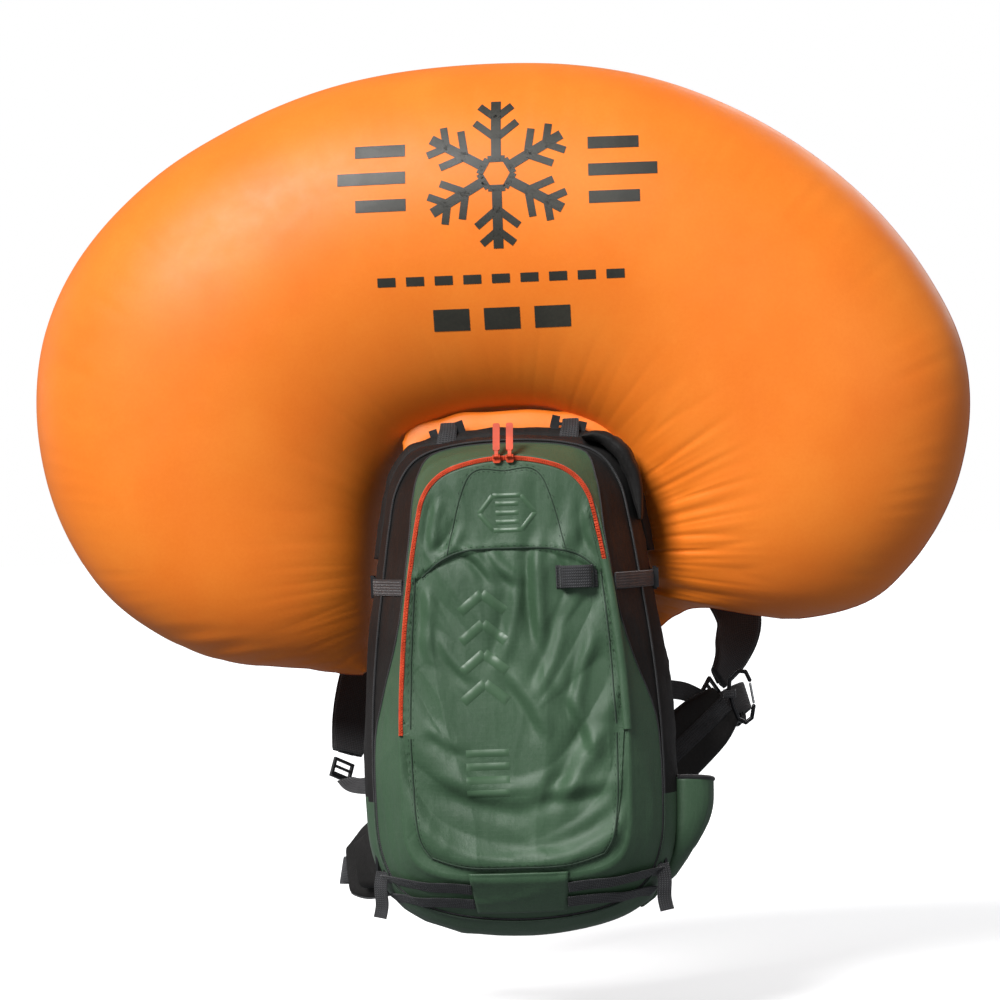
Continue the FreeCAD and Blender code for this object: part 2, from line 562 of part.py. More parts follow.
def make_chest(parts):
    """Chest strap halves, and the trigger on the left strap."""
    left, right = parts["shoulder_strap_left"], parts["shoulder_strap_right"]
    web_l = ribbon([((-108, 236, 352), (0, 0.2, 1), 20), ((-84, 244, 352), (0, 0, 1), 20),
                    ((-56, 246, 350), (0, 0, 1), 20)], WEB_THICK)
    web_r = ribbon([((134, 240, 376), (0, 0.2, 1), 20), ((108, 250, 372), (0, 0, 1), 20),
                    ((58, 252, 360), (0, 0, 1), 20)], WEB_THICK)
    web_l, web_r = trim(web_l, left), trim(web_r, right)
    parts["sternum_webbing"] = Part.makeCompound([web_l, web_r])
    parts["sternum_buckle_female"] = trim(
        placed(female_buckle(20), (-47, 246, 349.5), (0, 0, 1), (1, 0, 0)), web_l)
    parts["sternum_buckle_male"] = placed(male_buckle(20), (54, 252, 359), (0, 0, 1), (-1, 0, -0.2))

    along, across = Vec(-0.48, -0.147, -0.867), Vec(0.846, 0.178, -0.504)
    housing = box((-19, 19), (-34, 34), (-16, 7))
    housing = housing.makeFillet(5.0, [e for e in housing.Edges if abs(e.tangentAt(e.FirstParameter).y) > 0.9])
    housing = housing.cut(cylinder(4.4, (0, -20, 0), (0, 40, 0)))
    handle = cylinder(4.0, (0, -16, 0), (0, 38, 0)).fuse(box((-20, 20), (36, 50), (-5.8, 5.8)))
    at = (-147.5, 243.0, 321.2)
    parts["trigger_housing"] = trim(placed(housing, at, tuple(across), tuple(along)), left)
    parts["trigger_handle"] = placed(handle.removeSplitter(), at, tuple(across), tuple(along))


WING_RIGHT = [
    ((114, -3, 12), (0, 0, 1), 84), ((130, 5, 15), (-0.1, 0, 1), 84), ((152, 20, 40), (-0.3, 0, 1), 84),
    ((184, 38, 70), (-0.5, 0, 1), 80), ((228, 60, 108), (-0.6, 0, 1), 72), ((254, 72, 132), (-0.6, 0, 1), 50),
]
WING_LEFT = [
    ((-114, -3, -8), (0, 0, 1), 84), ((-131, 3, -10), (0, 0, 1), 86), ((-152, 13, -28), (0.1, 0, 1), 94),
    ((-178, 26, -42), (0.2, 0, 1), 104), ((-212, 50, -58), (0.3, 0, 1), 92), ((-236, 70, -68), (0.3, 0, 1), 62),
]
HIP_POCKET = [
    ((-150, -10, -26), (0.1, 0, 1), 66), ((-184, 10, -44), (0.2, 0, 1), 78), ((-216, 34, -58), (0.3, 0, 1), 62),
]
CARABINER = [
    (286, 161), (281, 172), (270, 173), (261, 164), (259, 150),
    (264, 128), (270, 112), (279, 107), (287, 113), (290, 128),
]
CARABINER_Y = 50.0
ROD_R = 2.6


def rod(points, radius):
    """A bent rod through points, with ball joints at its bends."""
    pieces = [cylinder(radius, a, b) for a, b in zip(points, points[1:])]
    pieces += [Part.makeSphere(radius, Vec(*p)) for p in points]
    return pieces[0].fuse(pieces[1:]).removeSplitter()


def make_hips(parts, main_guard):
    parts["hip_wing_right"] = trim(ribbon(WING_RIGHT, 12), main_guard, parts["lumbar_pad"])
    parts["hip_wing_left"] = trim(ribbon(WING_LEFT, 12), main_guard, parts["lumbar_pad"])
    parts["hip_pocket"] = trim(ribbon(HIP_POCKET, 24), main_guard, parts["hip_wing_left"])
    web_r = ribbon([((240, 74, 120), (-0.5, 0, 1), 36), ((266, 90, 134), (-0.5, 0, 1), 36),
                    ((282, 116, 138), (-0.3, 0, 1), 36), ((276, 150, 128), (0, 0, 1), 36)], WEB_THICK)
    web_l = ribbon([((-222, 70, -62), (0.3, 0, 1), 36), ((-246, 92, -70), (0.3, 0, 1), 36),
                    ((-250, 122, -74), (0.1, 0, 1), 36), ((-222, 168, -80), (0, 0, 1), 36)], WEB_THICK)
    parts["hip_webbing_right"] = trim(web_r, parts["hip_wing_right"])
    parts["hip_webbing_left"] = trim(web_l, parts["hip_wing_left"])
    parts["hip_buckle_female"] = trim(
        placed(female_buckle(38), (273, 159, 125), (0, 0, 1), (-0.3, 0.9, -0.3)), parts["hip_webbing_right"])
    parts["hip_buckle_male"] = placed(male_buckle(38), (-219, 173, -80.5), (0, 0, 1), (0.5, 0.85, -0.1))

    y = CARABINER_Y
    hook = rod([(x, y, z) for x, z in CARABINER], ROD_R)
    gate = rod([(290, y, 132.6), (286.4, y, 156.4)], 1.6)
    parts["carabiner_body"] = hook
    parts["carabiner_gate"] = largest(gate.cut(hook))
    loop = box((252, 268), (y - 7, y + 22), (139, 150)).cut(box((254, 266), (y - 5, y + 5), (130, 160)))
    parts["gear_loop"] = trim(loop, parts["hip_wing_right"])


SIDE_POCKET_Y = -82.0
SIDE_POCKET_FLOOR_Z = -104.0
SIDE_POCKET_TOP_Z = 48.0


def side_pocket_block(inset, floor, top):
    """The side pocket's filled shape, which widens upwards: reach in X and half width in Y at each height."""
    wires = []
    for z, reach, half in ((floor, 148, 20), (-60, 192, 32), (0, 222, 36), (top, 232, 36)):
        x0, x1 = 112, reach - inset
        y0, y1 = SIDE_POCKET_Y - half + inset, SIDE_POCKET_Y + half - inset
        outline = [(x0, y0), (x1 - 10, y0), (x1, y0 + 12), (x1, y1 - 12), (x1 - 10, y1), (x0, y1)]
        corners = [Vec(x, y, z) for x, y in outline]
        wires.append(Part.makePolygon(corners + corners[:1]))
    return loft(wires, True)


def make_pockets(parts, main_full, pocket_full, main_guard):
    """Side pocket on the wearer's right, straps on the bag, and the pieces on the front flap."""
    outside = side_pocket_block(0, SIDE_POCKET_FLOOR_Z, SIDE_POCKET_TOP_Z)
    inside = side_pocket_block(FABRIC, SIDE_POCKET_FLOOR_Z + FABRIC, SIDE_POCKET_TOP_Z + 12)
    parts["side_pocket"] = trim(outside, inside, main_full)

    wrap = bag_block(BAG_REAR_Y, FRONT_Y, -WEB_THICK, False).cut(bag_block(BAG_REAR_Y, FRONT_Y, 0.0, False))
    straps, buckles, loops = [], [], []
    for side in (-1, 1):
        reach = tuple(sorted((side * 100, side * 260)))
        strap = wrap.common(box(reach, (-205, -30), (UPPER_STRAP_Z - 10, UPPER_STRAP_Z + 10)))
        strap = trim(strap, main_full, pocket_full, parts["airbag"])
        lock = placed(ladder_lock(20), (side * 174, -104, UPPER_STRAP_Z), (0, 0, 1), (0, -1, 0))
        straps.append(strap)
        buckles.append(trim(lock, strap, main_full, parts["airbag"]))
        slab = box(tuple(sorted((side * 40, side * 260))), (-204, -128), (-66, -42))
        slab = turned(slab, (side * 60, 0, -54), (0, 1, 0), -side * 9)
        loop = trim(wrap.common(slab), main_full, pocket_full, parts["side_pocket"])
        loops.append(loop)
        lock = placed(ladder_lock(24), (side * 168, -142, -36), (0, 0, 1), (side * 0.62, 0.78, 0))
        buckles.append(trim(lock, loop, main_full, pocket_full, parts["side_pocket"]))
    parts["upper_straps"] = Part.makeCompound(straps)
    parts["ski_loops"] = Part.makeCompound(loops)
    parts["strap_buckles"] = Part.makeCompound(buckles)
    band = bag_block(POCKET_REAR_Y, CROWN_Y, -1.6, True).cut(pocket_full)
    parts["bottom_patch"] = trim(band.common(box((-58, 58), (-230, -160), (-100, -44))), *loops)

    keeper = box((61, 104), (-223, -200), (293, 321)).cut(box((63, 102), (-221, -190), (280, 330)))
    parts["keeper_loop"] = trim(keeper, pocket_full)
    neck_block = upright(NECK_R, NECK_FOOT_Z, NECK_TOP_Z)
    zip_band_main = arch(-3, 2.4, -42, 8.0, 70)
    parts["main_zipper"] = trim(zip_band_main, main_full, neck_block, *straps)


def save(parts):
    os.makedirs("parts", exist_ok=True)
    for old in os.listdir("parts"):
        if old.endswith(".step"):
            os.remove(os.path.join("parts", old))
    for name, shape in parts.items():
        solids = shape.Solids
        bad = [s for s in solids if not s.isValid() or s.Volume <= 0]
        if not solids or bad:
            print("BAD", name, len(solids), len(bad))
        shape.exportStep(os.path.join("parts", name + ".step"))
    print(len(parts), "parts")


def main():
    parts = {}
    main_full, pocket_full = make_bag(parts)
    make_sliders(parts)
    airbag_full = make_airbag(parts, main_full)
    make_blower(parts)
    make_back(parts)
    main_guard = bag_block(BAG_REAR_Y, POCKET_REAR_Y, -GUARD, False)
    make_shoulders(parts, main_guard, airbag_full)
    make_chest(parts)
    make_hips(parts, main_guard)
    make_pockets(parts, main_full, pocket_full, main_guard)
    save(parts)


if __name__ == "__main__":
    main()
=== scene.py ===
import bpy
import bmesh
import json
import math
from mathutils import Matrix, Vector, noise
from mathutils.bvhtree import BVHTree


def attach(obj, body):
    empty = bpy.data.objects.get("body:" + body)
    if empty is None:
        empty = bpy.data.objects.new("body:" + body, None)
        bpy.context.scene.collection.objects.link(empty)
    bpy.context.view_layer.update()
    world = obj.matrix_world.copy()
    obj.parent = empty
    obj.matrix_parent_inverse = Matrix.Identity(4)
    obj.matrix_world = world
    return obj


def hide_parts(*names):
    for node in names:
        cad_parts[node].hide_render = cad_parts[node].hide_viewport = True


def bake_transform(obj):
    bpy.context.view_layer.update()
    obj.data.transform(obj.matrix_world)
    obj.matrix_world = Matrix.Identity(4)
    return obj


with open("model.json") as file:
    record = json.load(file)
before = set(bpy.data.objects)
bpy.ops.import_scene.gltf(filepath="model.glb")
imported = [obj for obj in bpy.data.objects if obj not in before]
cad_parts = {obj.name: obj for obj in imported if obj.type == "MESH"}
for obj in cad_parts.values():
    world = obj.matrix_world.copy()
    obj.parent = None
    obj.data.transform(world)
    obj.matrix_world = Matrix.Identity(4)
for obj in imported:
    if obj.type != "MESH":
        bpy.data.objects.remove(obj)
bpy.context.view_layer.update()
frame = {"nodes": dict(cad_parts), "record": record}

MM = 0.001

# Bag outlines and depths, in millimetres, as in the CAD
WIDE = [
    (0, 478), (75, 474), (122, 460), (147, 425), (158, 375), (168, 310), (181, 225),
    (189, 140), (192, 50), (186, -30), (158, -88), (98, -122), (0, -135),
]
FRONT = [
    (0, 456), (48, 450), (84, 431), (107, 397), (117, 355), (125, 300), (133, 220),
    (138, 140), (138, 50), (134, -12), (112, -42), (62, -54), (0, -56),
]
CENTRE_Z = 170.0
FRONT_Y = -206.0
REAR_SEAM_Y = -150.0
SIDE_PROFILE = [
    (-24, 0.0), (-110, 0.0), (-130, 0.1), (-150, 0.3), (-170, 0.52), (-190, 0.78), (-202, 0.95), (-206, 1.0),
]
REAR_PROFILE = [(-24, 0.76), (-34, 0.87), (-52, 0.95), (-80, 1.0), (-206, 1.0)]
ZIP_TOP_Z = 452.0
ZIP_ARCS = [(190.0, 90.0, 71.0), (64.0, 71.0, 12.0), (1500.0, 12.0, 1.5)]
PER_SPAN = 14

# Airbag outline about its centre, as (angle, radius), and its thickness by angle
BAG_CENTRE = (0.0, 330.0)
OUTER = [
    (-30, 197), (-22, 214), (-17, 250), (-15.6, 330), (-14, 372), (-9.3, 444), (-3.5, 491), (2.8, 532),
    (9, 566), (17, 600), (24, 618), (32, 624), (42, 627), (53, 627), (64, 627), (72, 627), (81, 625),
    (90, 624), (98, 628), (110, 641), (122, 655), (132, 669), (144, 677), (152.5, 669), (160, 648),
    (169, 611), (176.5, 572), (184, 524), (191, 464), (197, 404), (205, 313), (215, 250),
]
INNER = [
    (-30, 190), (-20, 170), (0, 150), (27, 158), (50, 174), (72, 174), (95, 173), (119, 182), (136, 190),
    (156, 180), (180, 177), (201, 198), (215, 240),
]
THICK = [
    (-30, 7), (-24, 30), (-16, 133), (-9, 213), (2, 280), (17, 320), (36, 341), (60, 350), (108, 352),
    (130, 348), (147, 340), (163, 322), (178, 290), (189, 242), (199, 168), (209, 70), (215, 14),
]
MID_Y = 20.0


# ---------------------------------------------------------------- small helpers

def lookup(table, x):
    """Smooth interpolation in a table of (x, value)."""
    if x <= table[0][0]:
        return table[0][1]
    if x >= table[-1][0]:
        return table[-1][1]
    k = max(i for i in range(len(table) - 1) if table[i][0] <= x)
    (x0, a), (x1, b) = table[k], table[k + 1]
    before, after = table[max(k - 1, 0)], table[min(k + 2, len(table) - 1)]
    m0 = (b - before[1]) / (x1 - before[0]) if k else (b - a) / (x1 - x0)
    m1 = (after[1] - a) / (after[0] - x0) if k + 2 < len(table) else (b - a) / (x1 - x0)
    h = x1 - x0
    t = (x - x0) / h
    return ((2 * t ** 3 - 3 * t ** 2 + 1) * a + (t ** 3 - 2 * t ** 2 + t) * h * m0
            + (3 * t ** 2 - 2 * t ** 3) * b + (t ** 3 - t ** 2) * h * m1)


def smooth(t):
    """An even step from 0 to 1."""
    t = min(max(t, 0.0), 1.0)
    return t * t * (3 - 2 * t)


def catmull(points, per, closed=False):
    """Points along a smooth line through the given ones."""
    pts = [Vector(p) for p in points]
    n = len(pts)
    out = []
    for i in range(n if closed else n - 1):
        if closed:
            a, b, c, d = (pts[(i + k) % n] for k in (-1, 0, 1, 2))
        else:
            a, b, c, d = pts[max(i - 1, 0)], pts[i], pts[i + 1], pts[min(i + 2, n - 1)]
        for k in range(per):
            t = k / per
            out.append(0.5 * (2 * b + (c - a) * t + (2 * a - 5 * b + 4 * c - d) * t ** 2
                              + (3 * b - a - 3 * c + d) * t ** 3))
    if not closed:
        out.append(pts[-1])
    return out


def ridges(p, scale, seed=0.0):
    """Creases: zero on most of the cloth, rising to 1 along soft lines."""
    v = noise.noise(Vector((p[0] * scale[0] + seed, p[1] * scale[1], p[2] * scale[2])))
    return max(0.0, 1.0 - abs(v) * 3.2) ** 2


def new_object(name, verts, faces, material, uvs=None):
    mesh = bpy.data.meshes.new(name)
    mesh.from_pydata([tuple(v) for v in verts], [], faces)
    mesh.validate()
    if uvs:
        layer = mesh.uv_layers.new(name="cloth")
        for loop in mesh.loops:
            layer.data[loop.index].uv = uvs[loop.vertex_index]
    for p in mesh.polygons:
        p.use_smooth = True
    obj = bpy.data.objects.new(name, mesh)
    bpy.context.collection.objects.link(obj)
    obj.data.materials.append(material)
    return obj


def grid_object(name, rows, material, wrap=False, uv=None):
    """A sheet of quads through rows of points given in millimetres; wrap joins each row's ends."""
    n, m = len(rows), len(rows[0])
    verts = [Vector(p) * MM for row in rows for p in row]
    faces = []
    for i in range(n - 1):
        for j in range(m if wrap else m - 1):
            k = (j + 1) % m
            faces.append((i * m + j, i * m + k, (i + 1) * m + k, (i + 1) * m + j))
    if uv is None:
        mid = rows[n // 2]
        across, along = [0.0], [0.0]
        for j in range(1, m):
            across.append(across[-1] + (Vector(mid[j]) - Vector(mid[j - 1])).length * MM)
        for i in range(1, n):
            along.append(along[-1] + (Vector(rows[i][m // 2]) - Vector(rows[i - 1][m // 2])).length * MM)
        uv = [(across[j], along[i]) for i in range(n) for j in range(m)]
    return new_object(name, verts, faces, material, uv)


def modify(obj, kind, **settings):
    mod = obj.modifiers.new(kind.lower(), kind)
    for key, value in settings.items():
        setattr(mod, key, value)
    return mod


def thicken(obj, amount):
    return modify(obj, "SOLIDIFY", thickness=amount * MM, offset=-1.0, use_rim=True)


def from_bmesh(name, bm, material):
    """An object from a finished bmesh."""
    mesh = bpy.data.meshes.new(name)
    bm.to_mesh(mesh)
    bm.free()
    mesh.materials.append(material)
    obj = bpy.data.objects.new(name, mesh)
    bpy.context.collection.objects.link(obj)
    return obj


def place(obj, body, slot, *nodes):
    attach(obj, body)
    if nodes:
        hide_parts(*nodes)
    return obj


# ---------------------------------------------------------------- materials

class Graph:
    """Short hand for building a material's nodes."""

    def __init__(self, name):
        self.mat = bpy.data.materials.new(name)
        self.mat.use_nodes = True
        self.tree = self.mat.node_tree
        self.shader = self.tree.nodes["Principled BSDF"]

    def add(self, kind, inputs=None, **props):
        node = self.tree.nodes.new("ShaderNode" + kind)
        for key, value in props.items():
            setattr(node, key, value)
        for key, value in (inputs or {}).items():
            if isinstance(value, bpy.types.NodeSocket):
                self.tree.links.new(value, node.inputs[key])
            else:
                node.inputs[key].default_value = value
        return node

    def math(self, op, a, b=0.0):
        return self.add("Math", {0: a, 1: b}, operation=op).outputs[0]

    def link(self, socket, name):
        self.tree.links.new(socket, self.shader.inputs[name])

    def set(self, **values):
        for key, value in values.items():
            self.shader.inputs[key.replace("_", " ")].default_value = value

    def noise(self, scale, detail=3.0, source="Object", stretch=None):
        where = self.add("TexCoord").outputs[source]
        if stretch:
            where = self.add("Mapping", {"Vector": where, "Scale": stretch}).outputs[0]
        return self.add("TexNoise", {"Vector": where, "Scale": scale, "Detail": detail}).outputs["Fac"]

    def ramp(self, fac, stops):
        node = self.add("ValToRGB", {"Fac": fac})
        ramp = node.color_ramp
        while len(ramp.elements) < len(stops):
            ramp.elements.new(0.5)
        for element, (pos, col) in zip(ramp.elements, stops):
            element.position = pos
            element.color = (*col, 1.0)
        return node.outputs["Color"]

    def threads(self, pitch_u, pitch_v, source="UV"):
        """Over-and-under weave height from the cloth's own coordinates."""
        xyz = self.add("SeparateXYZ", {0: self.add("TexCoord").outputs[source]})
        u = self.math("SINE", self.math("MULTIPLY", xyz.outputs[0], 2 * math.pi / pitch_u))
        v = self.math("SINE", self.math("MULTIPLY", xyz.outputs[1], 2 * math.pi / pitch_v))
        return self.math("MULTIPLY", u, v), xyz

    def bump(self, height, strength, distance, under=None):
        inputs = {"Height": height, "Strength": strength, "Distance": distance}
        if under is not None:
            inputs["Normal"] = under
        return self.add("Bump", inputs).outputs[0]


def cloth(name, dark, mid, light, pitch, rough=0.6, sheen=0.3, grid=0.0, crease=0.0, spec=0.5, weave=0.25,
          coat=0.0):
    """Woven cloth: threads, optional ripstop grid, slow colour changes and fine creases."""
    g = Graph(name)
    slow = g.noise(9.0, 4.0)
    fine = g.noise(260.0, 2.0)
    blend = g.math("ADD", g.math("MULTIPLY", slow, 0.75), g.math("MULTIPLY", fine, 0.25))
    colour = g.ramp(blend, [(0.30, dark), (0.5, mid), (0.72, light)])
    threads, xyz = g.threads(pitch, pitch)
    normal = g.bump(threads, weave, 0.0003)
    if grid:
        lines = []
        for axis in (0, 1):
            cell = g.math("FRACT", g.math("DIVIDE", xyz.outputs[axis], grid))
            lines.append(g.math("LESS_THAN", cell, 0.12))
        both = g.math("MAXIMUM", *lines)
        normal = g.bump(both, 0.35, 0.0002, normal)
        shade = g.add("MixRGB", {0: g.math("MULTIPLY", both, 0.22), 1: colour, 2: (*light, 1.0)})
        colour = shade.outputs[0]
    if crease:
        folds = g.noise(34.0, 5.0, stretch=(1.0, 1.0, 0.45))
        normal = g.bump(folds, crease, 0.004, normal)
    g.link(colour, "Base Color")
    g.link(normal, "Normal")
    g.link(g.math("ADD", g.math("MULTIPLY", g.noise(40.0, 3.0), 0.18), rough - 0.09), "Roughness")
    g.set(Sheen_Weight=sheen, Sheen_Roughness=0.4, Specular_IOR_Level=spec)
    g.set(Coat_Weight=coat, Coat_Roughness=0.35)
    return g.mat


def hard(name, colour, rough=0.4, metal=0.0, grain=500.0, depth=0.08, brushed=False):
    """Moulded plastic or metal with fine grain, scuffs and softer colour along worn places."""
    g = Graph(name)
    wear = g.noise(60.0, 6.0)
    lighter = tuple(min(1.0, c * 1.35 + 0.015) for c in colour)
    darker = tuple(c * 0.8 for c in colour)
    g.link(g.ramp(wear, [(0.35, darker), (0.55, colour), (0.78, lighter)]), "Base Color")
    stretch = (1.0, 1.0, 14.0) if brushed else None
    fine = g.noise(grain, 2.0, stretch=stretch)
    g.link(g.bump(fine, depth, 0.0004), "Normal")
    g.link(g.math("ADD", g.math("MULTIPLY", wear, 0.25), rough - 0.12), "Roughness")
    g.set(Metallic=metal)
    return g.mat


def webbing_material(name, colour, light):
    g = Graph(name)
    xyz = g.add("SeparateXYZ", {0: g.add("TexCoord").outputs["UV"]})
    along = g.math("MULTIPLY", xyz.outputs[1], 2 * math.pi / 0.0026)
    across = g.math("MULTIPLY", xyz.outputs[0], 2 * math.pi / 0.0034)
    skew = g.math("SINE", g.math("ADD", along, g.math("MULTIPLY", g.math("SINE", across), 1.3)))
    g.link(g.bump(skew, 0.5, 0.0005, g.bump(g.math("SINE", across), 0.4, 0.0005)), "Normal")
    blend = g.math("ADD", g.math("MULTIPLY", skew, 0.2), g.noise(70.0, 3.0))
    g.link(g.ramp(blend, [(0.3, colour), (0.75, light)]), "Base Color")
    g.set(Roughness=0.62, Sheen_Weight=0.25, Sheen_Roughness=0.4)
    return g.mat


def mesh_foam_material(name, colour, light):
    """Spacer mesh: a field of small round holes over foam, each hole darkened by painted shade."""
    g = Graph(name)
    where = g.add("TexCoord").outputs["UV"]
    cells = g.add("TexVoronoi", {"Vector": where, "Scale": 420.0, "Randomness": 0.15})
    hole = g.math("MULTIPLY", cells.outputs["Distance"], 1.4)
    # Painted shade: each hole darkens towards its middle, where the bump sinks, to a third of the mesh's colour.
    hole_shade = tuple(c * 0.35 for c in colour)
    g.link(g.ramp(hole, [(0.25, hole_shade), (0.55, colour), (0.9, light)]), "Base Color")
    g.link(g.bump(hole, 0.6, 0.0008, g.bump(g.noise(25.0, 3.0), 0.3, 0.003)), "Normal")
    g.set(Roughness=0.85, Sheen_Weight=0.35)
    return g.mat


ORANGE = cloth("airbag_nylon", (0.93, 0.205, 0.016), (0.96, 0.230, 0.020), (0.99, 0.262, 0.026), 0.0011,
               rough=0.46, sheen=0.0, spec=0.32, weave=0.10)
GREEN = cloth("ripstop_green", (0.036, 0.082, 0.040), (0.046, 0.100, 0.050), (0.060, 0.122, 0.064), 0.0009,
              rough=0.47, sheen=0.06, grid=0.0058, crease=0.6, spec=0.5, weave=0.25, coat=0.08)
GREEN_SMOOTH = cloth("emboss_green", (0.052, 0.108, 0.055), (0.062, 0.124, 0.065), (0.076, 0.146, 0.079), 0.0009,
                     rough=0.42, sheen=0.0, spec=0.45, weave=0.05, coat=0.05)
GREEN_EDGE = cloth("seam_green", (0.010, 0.028, 0.014), (0.016, 0.040, 0.020), (0.026, 0.056, 0.030), 0.0009,
                   rough=0.6, weave=0.3)
BLACK = cloth("pack_nylon_black", (0.007, 0.0065, 0.006), (0.013, 0.012, 0.0115), (0.024, 0.022, 0.021), 0.0013,
              rough=0.6, sheen=0.02, crease=0.7, spec=0.22, weave=0.4)
ORANGE_SEAM = webbing_material("airbag_seam_tape", (0.70, 0.11, 0.010), (0.90, 0.18, 0.016))
PRINT = cloth("airbag_print", (0.018, 0.018, 0.014), (0.028, 0.027, 0.020), (0.045, 0.042, 0.030), 0.0011,
              rough=0.4, sheen=0.1, weave=0.15)
WEB = webbing_material("webbing_black", (0.009, 0.009, 0.010), (0.034, 0.034, 0.037))
FOAM = mesh_foam_material("spacer_mesh", (0.026, 0.026, 0.028), (0.055, 0.055, 0.060))
BINDING = webbing_material("edge_binding", (0.012, 0.012, 0.013), (0.028, 0.028, 0.030))
ZIP_TAPE = webbing_material("zip_tape_orange", (0.72, 0.060, 0.020), (0.92, 0.120, 0.045))
ZIP_TEETH = hard("zip_teeth_orange", (0.66, 0.062, 0.012), rough=0.45)
PLASTIC = hard("acetal_black", (0.012, 0.012, 0.013), rough=0.38)
ANODISED = hard("anodised_black", (0.015, 0.015, 0.017), rough=0.25, metal=0.6, grain=900.0)
STEEL = hard("wire_steel", (0.62, 0.62, 0.63), rough=0.25, metal=1.0, brushed=True)

SIMPLE = {
    "housing_plastic": hard("housing_black", (0.03, 0.03, 0.033), rough=0.5, grain=900.0, depth=0.2),
    "impeller_plastic": hard("impeller_grey", (0.06, 0.06, 0.065), rough=0.4),
    "motor_steel": hard("motor_can", (0.5, 0.5, 0.52), rough=0.3, metal=1.0, brushed=True),
    "capacitor_sleeve": hard("capacitor_blue", (0.02, 0.05, 0.22), rough=0.25),
    "cell_sleeve": hard("cell_sleeve", (0.35, 0.22, 0.06), rough=0.25),
    "circuit_board": hard("board_green", (0.01, 0.12, 0.045), rough=0.35),
    "rubber_black": hard("gland_rubber", (0.012, 0.012, 0.012), rough=0.75),
    "stay_aluminium": hard("stay_metal", (0.6, 0.6, 0.62), rough=0.35, metal=1.0, brushed=True),
    "frame_plastic": hard("frame_sheet_black", (0.025, 0.025, 0.028), rough=0.5),
    "button_green": hard("button_green", (0.03, 0.35, 0.06), rough=0.3),
    "button_red": hard("button_red", (0.55, 0.02, 0.015), rough=0.3),
    "trigger_plastic": hard("trigger_orange", (0.85, 0.14, 0.02), rough=0.4),
    "buckle_plastic": PLASTIC,
    "carabiner_aluminium": ANODISED,
    "gate_steel": STEEL,
    "zipper_orange": ZIP_TEETH,
}


def paint_frame():
    """Better materials on the CAD nodes that keep their own shape."""
    slots = {s["node"]: s["material_slot"] for s in frame["record"]["subparts"]}
    for node, obj in frame["nodes"].items():
        material = SIMPLE.get(slots.get(node))
        if material:
            for k in range(max(1, len(obj.material_slots))):
                if not obj.material_slots:
                    obj.data.materials.append(material)
                obj.material_slots[k].material = material


# ---------------------------------------------------------------- bag surface

def full(half):
    """Both halves of a symmetric outline."""
    return half + [(-x, z) for x, z in reversed(half[1:-1])]


WIDE_RING = [(p.x, p.y) for p in catmull([(x, z, 0) for x, z in full(WIDE)], PER_SPAN, True)]
FRONT_RING = [(p.x, p.y) for p in catmull([(x, z, 0) for x, z in full(FRONT)], PER_SPAN, True)]
AROUND = len(WIDE_RING)
RING_ANGLES = [math.atan2(x, z - CENTRE_Z) for x, z in FRONT_RING]


def scaled(x, z, s):
    """A place in the front view moved towards or away from the bag's centre."""
    return x * s, CENTRE_Z + (z - CENTRE_Z) * s


def turn(a, b):
    """The angle from b to a, the short way round."""
    return math.atan2(math.sin(a - b), math.cos(a - b))


def mixed(k, y):
    """One point of the bag's outline at a depth, before the rear narrows."""
    q = min(max(lookup(SIDE_PROFILE[::-1], y), 0.0), 1.0)
    (x0, z0), (x1, z1) = WIDE_RING[k], FRONT_RING[k]
    return (1 - q) * x0 + q * x1, (1 - q) * z0 + q * z1


def ring_at(y):
    """The bag's outline at a depth."""
    narrow = lookup(REAR_PROFILE[::-1], y)
    return [scaled(*mixed(k, y), narrow) for k in range(AROUND)]


def side_x(y, z):
    """Half width of the bag at a depth and height."""
    ring = ring_at(y)
    best = min(range(AROUND // 2), key=lambda k: abs(ring[k][1] - z))
    return ring[best][0]


def zip_line(offset=0.0, per=26):
    """The zipper's line from its left end over the top to its right end, in millimetres."""
    right = []
    x, z = 0.0, ZIP_TOP_Z
    for radius, start, end in ZIP_ARCS:
        a, b = math.radians(start), math.radians(end)
        cx, cz = x - radius * math.cos(a), z - radius * math.sin(a)
        for k in range(per):
            t = a + (b - a) * k / per
            right.append((cx + (radius + offset) * math.cos(t), cz + (radius + offset) * math.sin(t)))
        x, z = cx + radius * math.cos(b), cz + radius * math.sin(b)
    last = math.radians(ZIP_ARCS[-1][2])
    right.append((x + offset * math.cos(last), z + offset * math.sin(last)))
    return [(-a, b) for a, b in reversed(right)] + right[1:]


FOLD_Z = zip_line()[0][1]
PANEL_FOOT_Z = -40.0


def share_of_front(x, z):
    """0 at the front's centre, 1 on its outline."""
    angle = math.atan2(x, z - CENTRE_Z)
    best = min(range(0, AROUND, 2), key=lambda k: abs(turn(RING_ANGLES[k], angle)))
    reach = math.hypot(FRONT_RING[best][0], FRONT_RING[best][1] - CENTRE_Z)
    return math.hypot(x, z - CENTRE_Z) / reach


SLACK_FRAMES = 22
YOKE_Z = 322
PIN_EDGE, PIN_ZIP, PIN_YOKE = 1.0, 0.85, 0.35


